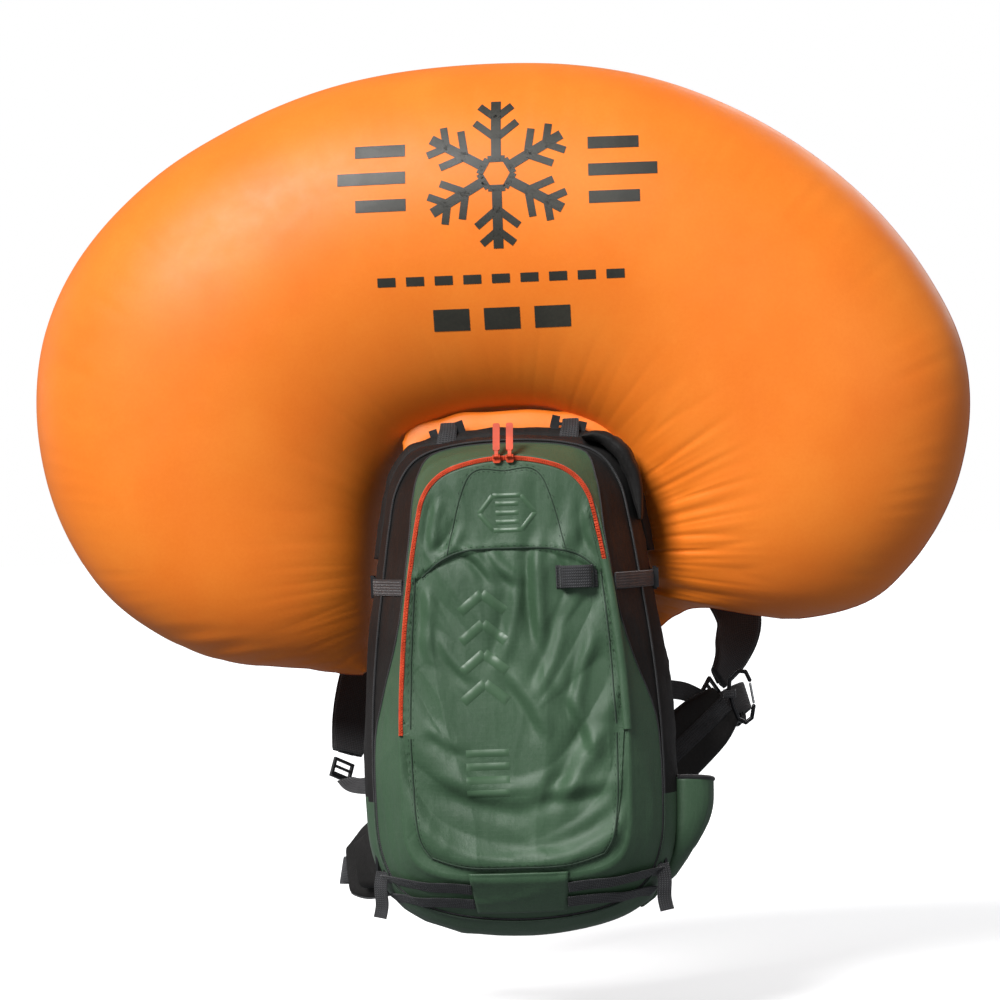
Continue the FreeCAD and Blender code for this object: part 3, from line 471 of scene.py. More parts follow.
def settle_front():
    """Lays slack cloth over the front: pinned at its edge and along the zipper, pushed out from inside."""
    rings, step = 64, 2
    verts, faces = [(0.0, (FRONT_Y - 6) * MM, CENTRE_Z * MM)], []
    around = AROUND // step
    for i in range(1, rings + 1):
        t = i / rings
        for k in range(around):
            x, z = scaled(*FRONT_RING[k * step], t)
            y = FRONT_Y - 6 * (1 - t * t)
            verts.append((x * MM, y * MM, z * MM))
    for k in range(around):
        n = (k + 1) % around
        faces.append((0, 1 + k, 1 + n))
        for i in range(rings - 1):
            a, b = 1 + i * around, 1 + (i + 1) * around
            faces.append((a + k, b + k, b + n, a + n))
    obj = new_object("front_slack", verts, faces, GREEN)
    pins = obj.vertex_groups.new(name="pins")
    line = zip_line()
    for v in obj.data.vertices:
        x, z = v.co.x / MM, v.co.z / MM
        near = min(math.hypot(x - a, z - b) for a, b in line[::3])
        edge = v.index > (rings - 1) * around
        weight = PIN_EDGE if edge else (PIN_ZIP if near < 4.5 else 0.0)
        if abs(z - YOKE_Z) < 3 and abs(x) < 100:
            weight = max(weight, PIN_YOKE)
        if weight:
            pins.add([v.index], weight, "REPLACE")
    for v in obj.data.vertices:
        v.co.y += 0.0012 * noise.noise(Vector((v.co.x * 30, 3.0, v.co.z * 18)))
    mod = modify(obj, "CLOTH")
    s = mod.settings
    s.quality = 6
    s.mass = 0.25
    s.tension_stiffness = s.compression_stiffness = s.shear_stiffness = 18
    s.bending_stiffness = 0.25
    s.vertex_group_mass = "pins"
    s.use_pressure = True
    s.uniform_pressure_force = 1.1
    s.shrink_min = -0.045
    s.effector_weights.gravity = 0.35
    scene = bpy.context.scene
    for f in range(1, SLACK_FRAMES + 1):
        scene.frame_set(f)
    modify(obj, "SMOOTH", factor=0.5, iterations=10)
    modify(obj, "SUBSURF", levels=2)
    depsgraph = bpy.context.evaluated_depsgraph_get()
    tree = BVHTree.FromObject(obj, depsgraph)
    scene.frame_set(1)
    bpy.data.objects.remove(obj)
    return tree


SLACK = settle_front()


def front_y(x, z):
    """Depth of the front cloth at a place, with its slack folds."""
    f = share_of_front(x, z)
    base = FRONT_Y - 7.5 * max(0.0, 1 - f * f)
    edge = smooth((1.0 - f) / 0.10)
    y = base
    if SLACK is not None:
        hit = SLACK.ray_cast(Vector((x * MM, -0.4, z * MM)), Vector((0, 1, 0)))[0]
        if hit is not None:
            y = min(max(hit.y / MM, base - 7.0), base + 5.5)
    p = (x * MM, 0.0, z * MM)
    low = smooth((290 - z) / 120)
    y -= 3.0 * low * edge * ridges(p, (6, 1, 2.6), 2.3)
    y -= 1.3 * edge * ridges((p[0] + 0.6 * p[2], 0, p[2] - 0.2 * p[0]), (8, 1, 4), 11.0)
    y -= 0.35 * edge * ridges(p, (24, 1, 11), 5.0)
    y -= 1.25 * fold_height(x, z)
    above = z - (344 - 30 * (abs(x) / 106) ** 2.2)
    y -= 2.4 * math.exp(-above / 14) * smooth(above / 2.5) if above > 0 else -1.6 * math.exp(above / 9)
    return max(base + (y - base) * edge, FRONT_Y - 17.0)


# Standing folds of the front cloth, as (ends, width, height); a valley runs beside each
FOLDS = [
    ((-58, 340), (-20, 306), 7.0, 4.2), ((-22, 342), (6, 300), 8.0, 3.6), ((32, 345), (36, 232), 9.0, 5.5),
    ((62, 340), (72, 286), 8.0, 3.2), ((4, 300), (-18, 210), 9.0, 3.0), ((60, 250), (26, 180), 9.0, 3.4),
    ((92, 232), (76, 150), 8.0, 3.2), ((-4, 190), (30, 120), 10.0, 3.6), ((60, 170), (92, 90), 9.0, 3.2),
    ((104, 120), (48, 42), 13.0, 6.5), ((-86, 236), (-56, 186), 8.0, 2.8),
    ((-104, 120), (-62, 104), 9.0, 3.0),
    ((-92, 62), (10, 34), 13.0, 4.0), ((20, 36), (108, 58), 11.0, 3.8), ((-80, 400), (-98, 352), 7.0, 3.2),
    ((-60, 372), (-84, 340), 7.0, 3.2), ((96, 392), (104, 340), 7.0, 3.0),
    ((-106, 300), (-100, 220), 8.0, 2.6),
]


def fold_height(x, z):
    """How far the standing folds lift the front cloth at a place."""
    total = 0.0
    for a, b, width, height in FOLDS:
        ax, az, bx, bz = *a, *b
        length = math.hypot(bx - ax, bz - az)
        ux, uz = (bx - ax) / length, (bz - az) / length
        along = (x - ax) * ux + (z - az) * uz
        if not -0.25 * length < along < 1.25 * length:
            continue
        bend = 5.0 * math.sin(along / length * 2.6 + ax * 0.1)
        across = (x - ax) * uz - (z - az) * ux + bend
        if abs(across) > 4 * width:
            continue
        taper = smooth((along / length + 0.25) / 0.5) * smooth((1.25 - along / length) / 0.5)
        crest = math.exp(-((across + width * 0.7) / width) ** 2)
        valley = math.exp(-((across - width * 0.7) / width) ** 2)
        total += height * taper * (crest - 0.9 * valley)
    return total


def stand_out(x, y, z, lump):
    """A point of side cloth, moved in or out of its plain shape by soft waves."""
    p = Vector((x, y, z)) * MM
    wave = noise.noise(Vector((p.x * 11, p.y * 18, p.z * 9)))
    out = lump * (wave + 0.9 * ridges(p, (9, 26, 12), 4.0) - 0.3) / math.hypot(x, z - CENTRE_Z)
    x, z = scaled(x, z, 1 + out)
    return x, y, z


# Wall between pocket and main bag, back panel, and the height below which the main bag is green (metres)
WALL_Y, BACK_Y, GREEN_BELOW = -149.6, -24.0, 0.040

# Depth at which the pocket's green cloth meets the black side panel, by angle from the top
PANEL_EDGE = [
    (0, -152), (14, -153), (22, -184), (30, -202), (46, -202), (60, -197), (75, -184), (95, -166),
    (112, -153), (180, -152),
]


def gusset_row(depths):
    """One loop of the pocket's side, each point at its own depth."""
    row = []
    for k, y in enumerate(depths):
        x, z = mixed(k, y)
        lump = 2.6 * math.sin(math.pi * min(max((y - FRONT_Y) / 56.0, 0.0), 1.0))
        row.append(stand_out(x, y, z, lump))
    return row


def build_front_shell():
    """Pocket cloth outside the zipper: from zipper and fold out to the rim, then back along the sides."""
    line = zip_line(2.8)
    fold = [(line[-1][0] + (line[0][0] - line[-1][0]) * k / 90, FOLD_Z) for k in range(1, 90)]
    loop = [(math.atan2(x, z - CENTRE_Z), x, z) for x, z in line + fold]
    inner = [min(loop, key=lambda p: abs(turn(p[0], direction)))[1:] for direction in RING_ANGLES]
    rows = []
    steps = 34
    for i in range(steps + 1):
        t = i / steps
        row = []
        for (x0, z0), (x1, z1) in zip(inner, FRONT_RING):
            x, z = x0 + (x1 - x0) * t, z0 + (z1 - z0) * t
            row.append((x, front_y(x, z), z))
        rows.append(row)
    splits = [lookup(PANEL_EDGE, math.degrees(abs(angle))) for angle in RING_ANGLES]
    depth = 12
    for i in range(1, depth + 1):
        rows.append(gusset_row([FRONT_Y + (y - FRONT_Y) * i / depth for y in splits]))
    dark = [gusset_row([y + (REAR_SEAM_Y - y) * i / depth for y in splits]) for i in range(depth + 1)]
    panel = grid_object("gusset_panel_cloth", dark, BLACK, True)
    place(panel, "pack", "panel_black")
    line = [Vector(p) + Vector((0, -0.6, 0)) for p in dark[0][::3]]
    edge = tube("gusset_seam", line, 1.1, BINDING, 6, closed=True)
    place(edge, "pack", "panel_black")
    obj = grid_object("front_pocket_cloth", rows, GREEN, True)
    return place(obj, "pack", "shell_green", "pocket_gusset")


def build_flap():
    """Front panel cloth in one sheet: from the zipper down to the fold, and on below it to the panel's foot."""
    line = zip_line(-2.8, 40)
    rows = []
    steps = 110
    for i in range(steps + 1):
        t = i / steps
        row = []
        for x, z in line:
            pz = FOLD_Z + (z - FOLD_Z) * (1.0 - t)
            row.append((x, front_y(x, pz) - 0.9, pz))
        rows.append(row)
    lower = 52
    for i in range(1, lower + 1):
        t = i / lower
        row = []
        for x, _ in line:
            narrow = 1.0 - 0.10 * t - 0.10 * t ** 6
            pz = FOLD_Z + (PANEL_FOOT_Z - FOLD_Z) * t + 14 * t * (x / 130) ** 4
            row.append((x * narrow, front_y(x * narrow, pz) - 0.9, pz))
        rows.append(row)
    obj = grid_object("front_flap_cloth", rows, GREEN)
    thicken(obj, 1.4)
    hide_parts("front_flap")
    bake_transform(obj)
    return obj


def build_zip_cover():
    """Cloth garage over the lower part of the right zipper."""
    points = [(x, z) for x, z in zip_line(0.3, 40) if x > 0 and z < 328]
    rows = []
    for x, z in points:
        rows.append([(x - 5.0, front_y(x - 5.0, z) - 1.2, z), (x - 3.5, front_y(x, z) - 4.6, z),
                     (x + 3.5, front_y(x, z) - 4.6, z), (x + 6.0, front_y(x + 6.0, z) - 0.6, z)])
    obj = grid_object("zip_cover_cloth", rows, GREEN)
    place(obj, "pack", "shell_green")


def build_main():
    """Black side and back panels, with a wall behind the pocket and green cloth at the bottom."""
    ys = [WALL_Y, -146, *range(-140, -45, 8), -45, -39, -34, -30, -27, BACK_Y]
    rows = []
    for k, y in enumerate(ys):
        lump = 3.0 * math.sin(math.pi * k / (len(ys) - 1))
        rows.append([stand_out(x, y, z, lump) for x, z in ring_at(y)])
    front, back = rows[0], rows[-1]
    for t in (0.97, 0.85, 0.7, 0.55, 0.4, 0.25, 0.12, 0.02):
        row = []
        for x, _, z in front:
            sx, sz = scaled(x, z, t)
            row.append((sx, WALL_Y + 3.0 * ridges((sx * MM, 0, z * MM), (12, 1, 7), 8.0) * (1 - t), sz))
        rows.insert(0, row)
    for t in (0.9, 0.7, 0.45, 0.2, 0.02):
        rows.append([(x * t, BACK_Y, CENTRE_Z + (z - CENTRE_Z) * t) for x, _, z in back])
    obj = grid_object("main_bag_cloth", rows, BLACK, True)
    obj.data.materials.append(GREEN)
    for face in obj.data.polygons:
        if face.center.z < GREEN_BELOW and -0.1485 < face.center.y < -0.056:
            face.material_index = 1
    return place(obj, "pack", "panel_black", "main_bag")


def tube(name, points, radius, material, sides=8, closed=False):
    """A round cord or piping along points in millimetres."""
    pts = [Vector(p) for p in points]
    n = len(pts)
    rows = []
    up = Vector((0, 0, 1))
    for i in range(n):
        a = pts[(i - 1) % n] if closed else pts[max(i - 1, 0)]
        b = pts[(i + 1) % n] if closed else pts[min(i + 1, n - 1)]
        t = (b - a).normalized()
        if abs(t.dot(up)) > 0.95:
            up = Vector((1, 0, 0))
        side = t.cross(up).normalized()
        other = side.cross(t).normalized()
        up = other
        rows.append([pts[i] + (side * math.cos(q) + other * math.sin(q)) * radius
                     for q in (2 * math.pi * k / sides for k in range(sides))])
    if closed:
        rows.append(rows[0])
    return grid_object(name, rows, material, True)


def build_rims():
    """Piping along the pocket's rear seam and the black zipper round the top."""
    line = [(x * 1.004, REAR_SEAM_Y, z * 1.004) for x, z in ring_at(REAR_SEAM_Y)]
    seam = tube("pocket_piping", line, 1.4, BINDING, closed=True)
    seam.data.materials.append(GREEN_EDGE)
    for face in seam.data.polygons:
        face.material_index = 1 if face.center.z < GREEN_BELOW else 0
    place(seam, "pack", "webbing_black")
    depth, end_z = -38.0, 70
    ring = ring_at(depth)
    start = min((i for i in range(AROUND) if ring[i][0] < 0), key=lambda i: abs(ring[i][1] - end_z))
    path = []
    for x, z in ring[start:] + ring[:start]:
        if z > end_z:
            sx, sz = scaled(x, z, 1.006)
            path.append((sx, depth, sz))
    coil = tube("main_zip_coil", path, 2.4, PLASTIC, 6)
    place(coil, "pack", "zipper_black", "main_zipper")


TOOTH = [(-0.75, -1.1, -1.7), (0.75, -1.1, -1.7), (0.75, 1.1, -1.7), (-0.75, 1.1, -1.7),
         (-0.95, -1.4, 0), (0.95, -1.4, 0), (0.95, 1.4, 0), (-0.95, 1.4, 0)]
TOOTH_FACES = [(0, 1, 2, 3), (0, 4, 5, 1), (1, 5, 6, 2), (2, 6, 7, 3), (3, 7, 4, 0)]
TOOTH_PITCH = 2.3


def build_teeth(name, near, far, row, body, node):
    """One side of the front zipper: tape between two offsets and a row of moulded teeth."""
    inner, outer = zip_line(near, 60), zip_line(far, 60)
    rows = [[(x, -207.6, z) for x, z in inner], [(x, -208.8, z) for x, z in inner],
            [(x, -208.6, z) for x, z in outer], [(x, -205.5, z) for x, z in outer]]
    tape = grid_object(name + "_tape", rows, ZIP_TAPE)
    place(tape, body, "zipper_orange", node)
    line = [Vector((x, 0, z)) for x, z in zip_line(row, 200)]
    bm = bmesh.new()
    travelled = 0.0
    goal = 0.0 if row < 0 else TOOTH_PITCH / 2
    for a, b in zip(line, line[1:]):
        travelled += (b - a).length
        if travelled < goal:
            continue
        goal += TOOTH_PITCH
        along = (b - a).normalized()
        across = Vector((along.z, 0, -along.x))
        verts = []
        for du, dv, dy in TOOTH:
            p = b + along * du + across * dv + Vector((0, -208.5 + dy, 0))
            verts.append(bm.verts.new(p * MM))
        for f in TOOTH_FACES:
            bm.faces.new([verts[k] for k in f])
    place(from_bmesh(name + "_teeth", bm, ZIP_TEETH), body, "zipper_orange")


# ---------------------------------------------------------------- airbag

def airbag_point(angle, phi):
    """A point on the airbag: angle round the pack, phi round the section from the outer seam."""
    r_in, r_out = lookup(INNER, angle), lookup(OUTER, angle)
    seam = smooth((angle - 186) / 10) * smooth((214 - angle) / 6)
    r_out += 2.6 * seam * abs(math.sin(math.radians(angle) * 42)) - 1.5 * seam
    c, s = math.cos(phi), math.sin(phi)
    face, share = math.copysign(1.0, s), abs(s)
    r = (r_in + r_out) / 2 + (r_out - r_in) / 2 * c
    a = math.radians(angle)
    inward = smooth((0.25 - c) / 1.1)
    pull = smooth(1 - (r - r_in) / 190.0)
    creases = 1.3 * ridges((angle * 0.14, 0, r * 0.0035), (1.0, 1.0, 1.0), 1.7)
    creases += 0.5 * ridges((angle * 0.34, 0, r * 0.006), (1.0, 1.0, 1.0), 6.1)
    right_side = 0.22 + 0.95 * smooth((52 - angle) / 36)
    y = face * lookup(THICK, angle) / 2 * share ** 0.86
    y -= face * share * (3.4 * right_side * creases * pull + 2.0 * inward)
    place_on = (math.cos(a) * r * 0.006, math.sin(a) * r * 0.006, 3.0 if s > 0 else 9.0)
    y += 3.0 * share * noise.noise(Vector(place_on))
    fine = max(0.0, noise.noise(Vector((angle * 0.9, 1.0 if s > 0 else 5.0, r * 0.004))))
    y -= face * share * 2.6 * fine * smooth((c - 0.45) / 0.4) * (1 - seam)
    pucker = seam * smooth((c - 0.25) / 0.6)
    y += face * 3.0 * pucker * math.sin(a * 84 + 2.0 * c)
    return Vector((BAG_CENTRE[0] + r * math.cos(a), MID_Y - y, BAG_CENTRE[1] + r * math.sin(a)))


def build_airbag():
    """The inflated bag and the tape on its two seams; the sections lie closer at both ends."""
    around, sections = 132, 420
    rows = []
    low, high = OUTER[0][0], OUTER[-1][0]
    for i in range(sections + 1):
        t = i / sections
        angle = low + (high - low) * (0.5 - 0.5 * math.cos(math.pi * t)) * 0.35 + (high - low) * t * 0.65
        rows.append([airbag_point(angle, 2 * math.pi * k / around) for k in range(around)])
    for end in (0, -1):
        centre = sum((Vector(p) for p in rows[end]), Vector()) / around
        rows.insert(len(rows) if end else 0, [centre.copy() for _ in range(around)])
    obj = grid_object("airbag_cloth", rows, ORANGE, True)
    bm = bmesh.new()
    bm.from_mesh(obj.data)
    bmesh.ops.remove_doubles(bm, verts=bm.verts, dist=1e-6)
    bmesh.ops.recalc_face_normals(bm, faces=bm.faces)
    bm.to_mesh(obj.data)
    bm.free()
    place(obj, "pack", "airbag_fabric", "airbag")
    for name, phi in (("outer", 0.0), ("inner", math.pi)):
        line = [airbag_point(low + (high - low) * k / 300, phi) for k in range(301)]
        seam = tube("airbag_seam_" + name, line, 1.7, ORANGE_SEAM, 6)
        place(seam, "pack", "airbag_fabric")
    return obj


def surface_tree(*objects):
    """A ray caster over finished objects."""
    verts, faces = [], []
    depsgraph = bpy.context.evaluated_depsgraph_get()
    for obj in objects:
        mesh = obj.evaluated_get(depsgraph).to_mesh()
        base = len(verts)
        verts += [obj.matrix_world @ v.co for v in mesh.vertices]
        faces += [tuple(base + i for i in p.vertices) for p in mesh.polygons]
    return BVHTree.FromPolygons(verts, faces)


def drop(tree, x, z, out):
    """The point of a surface straight behind (x, z), stood off by out millimetres."""
    hit, normal, _, _ = tree.ray_cast(Vector((x * MM, -0.6, z * MM)), Vector((0, 1, 0)))
    if hit is None:
        return Vector((x, FRONT_Y, z))
    if normal.y > 0:
        normal = -normal
    return (hit + normal * out * MM) / MM


def patch(parts, tree, a, b, width, material, out=0.6, raised=False):
    """Adds a flat printed bar, or a raised welded one, from a to b on a surface."""
    a, b = Vector((a[0], 0, a[1])), Vector((b[0], 0, b[1]))
    length = (b - a).length
    along = (b - a) / length
    across = Vector((along.z, 0, -along.x))
    n = max(3, int(length / 3.0))
    m = max(3, int(width / 3.0))
    rows = []
    for i in range(n + 1):
        row = []
        for j in range(m + 1):
            p = a + along * length * i / n + across * width * (j / m - 0.5)
            rim = raised and (i in (0, n) or j in (0, m))
            row.append(drop(tree, p.x, p.z, 0.1 if rim else out))
        rows.append(row)
    parts.append(grid_object("bar", rows, material))


def hexagon(parts, tree, centre, reach, width, material, **how):
    """Six bars round a centre, with their own reach sideways and upwards."""
    corners = [Vector((centre[0] + reach[0] * math.cos(t), centre[1] + reach[1] * math.sin(t)))
               for t in (math.radians(60 * k) for k in range(7))]
    for a, b in zip(corners, corners[1:]):
        patch(parts, tree, a, b, width, material, **how)


def merge(objects, name):
    """Joins finished objects into one."""
    bm = bmesh.new()
    for obj in objects:
        bm.from_mesh(obj.data)
    merged = from_bmesh(name, bm, objects[0].data.materials[0])
    for p in merged.data.polygons:
        p.use_smooth = True
    for obj in objects:
        bpy.data.objects.remove(obj)
    return merged


PRINT_Z = 800.0


def build_print(tree):
    """Printed generic mark on the airbag: a snow crystal between stacked bars, over dashes and blocks."""
    made = []
    c = Vector((0.0, PRINT_Z))
    for k in range(6):
        a = math.radians(90 + 60 * k)
        u, v = Vector((math.cos(a), math.sin(a))), Vector((-math.sin(a), math.cos(a)))
        patch(made, tree, c + u * 16, c + u * 92, 12, PRINT)
        for reach, size in ((44, 26), (70, 20)):
            for side in (-1, 1):
                tip = c + u * (reach + size * 0.8) + v * side * size
                patch(made, tree, c + u * reach, tip, 9, PRINT)
    hexagon(made, tree, c, (21, 21), 8, PRINT)
    for side in (-1, 1):
        for k, length in enumerate((62, 84, 62)):
            z = PRINT_Z + 34 - 34 * k
            patch(made, tree, (side * 112, z), (side * (112 + length), z), 15, PRINT)
    for count, left, step, long, below, high in ((9, -150, 35, 22, 128, 11), (3, -84, 62, 44, 176, 26)):
        for k in range(count):
            x, z = left + k * step, PRINT_Z - below
            patch(made, tree, (x, z), (x + long, z), high, PRINT)
    place(merge(made, "airbag_print"), "pack", "airbag_fabric")


# ---------------------------------------------------------------- webbing and pads

def sweep(stations, per):
    """Along a strap: point, direction across it, direction out of it and width."""
    pts = catmull([p for p, _, _ in stations], per)
    dirs = catmull([Vector(d).normalized() for _, d, _ in stations], per)
    widths = [v.x for v in catmull([(w, 0, 0) for _, _, w in stations], per)]
    line = []
    for i, p in enumerate(pts):
        along = (pts[min(i + 1, len(pts) - 1)] - pts[max(i - 1, 0)]).normalized()
        across = (dirs[i] - along * dirs[i].dot(along)).normalized()
        line.append((p, across, along.cross(across), widths[i]))
    return line


def strip(name, stations, thick, material, per=10, rounded=2.4, taper=0.0):
    """A flat strap through stations of (point, width direction, width); its ends may taper."""
    rows, uvs = [], []
    travelled = 0.0
    section = []
    corners = 20
    for k in range(corners):
        t = 2 * math.pi * k / corners
        c, s = math.cos(t), math.sin(t)
        section.append((math.copysign(abs(c) ** (2 / 8), c), math.copysign(abs(s) ** (2 / rounded), s)))
    line = sweep(stations, per)
    for i, (p, across, normal, width) in enumerate(line):
        if i:
            travelled += (p - line[i - 1][0]).length
        swell = 1 - taper * abs(2 * i / (len(line) - 1) - 1) ** 2.5
        row = []
        for c, s in section:
            row.append(p + across * (c * width / 2) + normal * (s * thick * swell / 2))
            uvs.append((c * width / 2 * MM + (0.05 if s < 0 else 0), travelled * MM))
        rows.append(row)
    for end in (0, -1):
        centre = sum((Vector(q) for q in rows[end]), Vector()) / corners
        cap = [centre + (Vector(q) - centre) * 0.02 for q in rows[end]]
        rows.insert(len(rows) if end else 0, cap)
    uvs = uvs[:corners] + uvs + uvs[-corners:]
    return grid_object(name, rows, material, True, uvs)


def bind_edges(name, stations):
    """Piping along both long edges of a padded strap, and round its free end."""
    line = sweep(stations, 10)
    one = [p + across * width / 2 for p, across, _, width in line]
    two = [p - across * width / 2 for p, across, _, width in line]
    return tube(name, one + two[::-1], 1.9, BINDING, 8)


def padded_strap(name, stations, thick, body, node, outer):
    """Spacer mesh towards the wearer and black cloth outside, bound along the edges."""
    obj = strip(name, stations, thick, FOAM, 12, rounded=3.0)
    obj.data.materials.append(BLACK)
    for face in obj.data.polygons:
        upper = face.index % 20 < 10
        face.material_index = 1 if upper == (outer > 0) else 0
    for v in obj.data.vertices:
        v.co += Vector((1, 1, 1)) * 0.0006 * noise.noise(v.co * 38)
    place(obj, body, "foam_pad", node)
    edge = bind_edges(name + "_binding", stations)
    place(edge, body, "foam_pad")


def lie_on(stations, width, stand_off):
    """Stations of a narrower strap that lies on a wider one, at its own distance from its middle."""
    made = []
    for i, (p, d, _) in enumerate(stations):
        before = Vector(stations[max(i - 1, 0)][0])
        after = Vector(stations[min(i + 1, len(stations) - 1)][0])
        along = (after - before).normalized()
        across = (Vector(d) - along * Vector(d).dot(along)).normalized()
        made.append((Vector(p) + along.cross(across) * stand_off, d, width))
    return made


PAD_BACK, PAD_FRONT = -17.5, 0.0


def pillow(name, x0, x1, z0, z1, channels):
    """A moulded foam pad on the back panel: crowned, with sewn channels."""
    rows = []
    n, m = 60, 60
    cx, cz, hx, hz = (x0 + x1) / 2, (z0 + z1) / 2, (x1 - x0) / 2, (z1 - z0) / 2

    def squircle(u, v):
        return u * math.sqrt(max(0.0, 1 - v * v / 2 * 0.42)), v * math.sqrt(max(0.0, 1 - u * u / 2 * 0.42))

    for i in range(n + 1):
        v = -1 + 2 * i / n
        row = []
        for j in range(m + 1):
            u = -1 + 2 * j / m
            a, b = squircle(u, v)
            edge = max(abs(u), abs(v))
            crown = (1 - edge ** 6) ** 0.5
            z = cz + b * hz
            groove = sum(math.exp(-((z - c) / 3.2) ** 2) for c in channels)
            y = PAD_BACK + (PAD_FRONT - PAD_BACK) * crown - min(5.0, 4.5 * groove) * crown
            y -= 0.6 * (1 + noise.noise(Vector((a * 9, b * 9, 2.0)))) * crown
            row.append((cx + a * hx, y, z))
        rows.append(row)
    obj = grid_object(name, rows, FOAM)
    thicken(obj, 0.8)
    return obj


# Straps and belt as (point, direction of the width, width), along the CAD's own lines
LEFT_STRAP = [
    ((-62, -10, 344), (1, 0, 0), 60), ((-62, -6, 388), (1, 0, 0), 62), ((-65, 22, 434), (1, 0, 0), 64),
    ((-72, 80, 462), (1, 0, 0), 66), ((-82, 140, 462), (1, 0, 0.05), 66), ((-98, 195, 430), (1, 0, 0.15), 66),
    ((-120, 222, 370), (1, 0.1, 0.25), 64), ((-153, 224, 302), (1, 0.25, 0.4), 62),
    ((-192, 200, 240), (1, 0.45, 0.45), 60), ((-220, 168, 182), (1, 0.6, 0.35), 58),
    ((-234, 138, 126), (1, 0.65, 0.25), 52), ((-240, 116, 80), (1, 0.7, 0.2), 40),
]
RIGHT_STRAP = [
    ((62, -10, 344), (1, 0, 0), 60), ((62, -6, 388), (1, 0, 0), 62), ((65, 22, 434), (1, 0, 0), 64),
    ((74, 80, 462), (1, 0, 0), 66), ((90, 140, 462), (1, 0, -0.05), 66), ((116, 198, 436), (1, 0, -0.2), 66),
    ((152, 228, 388), (1, -0.1, -0.3), 64), ((200, 236, 334), (1, -0.15, -0.6), 62),
    ((248, 216, 284), (1, -0.1, -0.5), 60), ((275, 184, 236), (1, 0.0, 0.1), 56),
    ((264, 152, 192), (1, 0.8, 0.3), 48), ((246, 128, 160), (0.7, 1, 0.2), 36),
]
WING_RIGHT = [
    ((114, -3, 12), (0, 0, 1), 84), ((130, 5, 15), (-0.1, 0, 1), 84), ((152, 20, 40), (-0.3, 0, 1), 84),
    ((184, 38, 70), (-0.5, 0, 1), 80), ((228, 60, 108), (-0.6, 0, 1), 72), ((254, 72, 132), (-0.6, 0, 1), 50),
]
WING_LEFT = [
    ((-114, -3, -8), (0, 0, 1), 84), ((-131, 3, -10), (0, 0, 1), 86), ((-152, 13, -28), (0.1, 0, 1), 94),
    ((-178, 26, -42), (0.2, 0, 1), 104), ((-212, 50, -58), (0.3, 0, 1), 92),
    ((-236, 70, -68), (0.3, 0, 1), 62),
]
HIP_POCKET = [
    ((-150, -10, -26), (0.1, 0, 1), 66), ((-184, 10, -44), (0.2, 0, 1), 78),
    ((-216, 34, -58), (0.3, 0, 1), 62),
]


def build_trigger_sleeve():
    """Cloth sleeve that holds the trigger: sewn flat at the top, open below for the handle."""
    middle, half_length, half_width, half_depth, sunk = Vector((-147.5, 243.0, 321.2)), 34, 19, 11.5, 4.5
    along = Vector((-0.48, -0.147, -0.867)).normalized()
    across = Vector((0.846, 0.178, -0.504))
    across = (across - along * across.dot(along)).normalized()
    outward = across.cross(along)
    rows = []
    for i in range(33):
        t = i / 32
        depth = 0.30 + 0.70 * smooth(t / 0.35)
        row = []
        for k in range(44):
            c, s = math.cos(2 * math.pi * k / 44), math.sin(2 * math.pi * k / 44)
            u = half_width * math.copysign(abs(c) ** 0.4, c)
            w = half_depth * depth * math.copysign(abs(s) ** 0.55, s) - sunk * (2 - depth)
            w += 0.5 * noise.noise(Vector((u * 0.09, t * 7, 3.0)))
            row.append(middle + across * u + along * half_length * (2 * t - 1) + outward * w)
        rows.append(row)
    obj = grid_object("trigger_sleeve", rows, BLACK, True)
    thicken(obj, 1.2)
    place(obj, "pack", "panel_black", "trigger_housing")
    hem = tube("trigger_sleeve_hem", rows[-1] + rows[-1][:1], 1.3, BINDING, 8)
    place(hem, "pack", "panel_black")


def web(name, body, node, line, widths):
    """Webbing through (point, width direction) pairs, with one width or one for each pair."""
    widths = widths if isinstance(widths, tuple) else (widths,) * len(line)
    stations = [(p, d, w) for (p, d), w in zip(line, widths)]
    place(strip(name, stations, 1.9, WEB), body, "webbing_black", node)


def build_pads():
    """Shoulder straps, hip wings with their pocket, and the back panel's pads."""
    padded_strap("strap_left_pad", LEFT_STRAP, 11, "pack", "shoulder_strap_left", -1)
    padded_strap("strap_right_pad", RIGHT_STRAP, 11, "pack", "shoulder_strap_right", -1)
    padded_strap("wing_right_pad", WING_RIGHT, 12, "wing_right", "hip_wing_right", 1)
    padded_strap("wing_left_pad", WING_LEFT, 12, "wing_left", "hip_wing_left", -1)
    for label, stations, low, high, reach, body in (
            ("strap_left", LEFT_STRAP, 3, 12, -6.4, "pack"),
            ("strap_right", RIGHT_STRAP, 3, 12, -6.4, "pack"),
            ("wing_right", WING_RIGHT, 1, 6, 6.9, "wing_right")):
        obj = strip(label + "_webbing", lie_on(stations, 22, reach)[low:high], 1.6, WEB, 12)
        place(obj, body, "webbing_black")
    pocket = strip("hip_pocket_cloth", HIP_POCKET, 24, BLACK, 14, rounded=2.8)
    place(pocket, "wing_left", "panel_black", "hip_pocket")
    lumbar = pillow("lumbar_cloth", -96, 96, -56, 56, (-18, 18))
    place(lumbar, "pack", "foam_pad", "lumbar_pad")
    for label, x0, x1 in (("left", -98, -20), ("right", 20, 98)):
        pad = pillow("thoracic_cloth_" + label, x0, x1, 74, 322, (124, 174, 224, 274))
        place(pad, "pack", "foam_pad", "thoracic_pads")


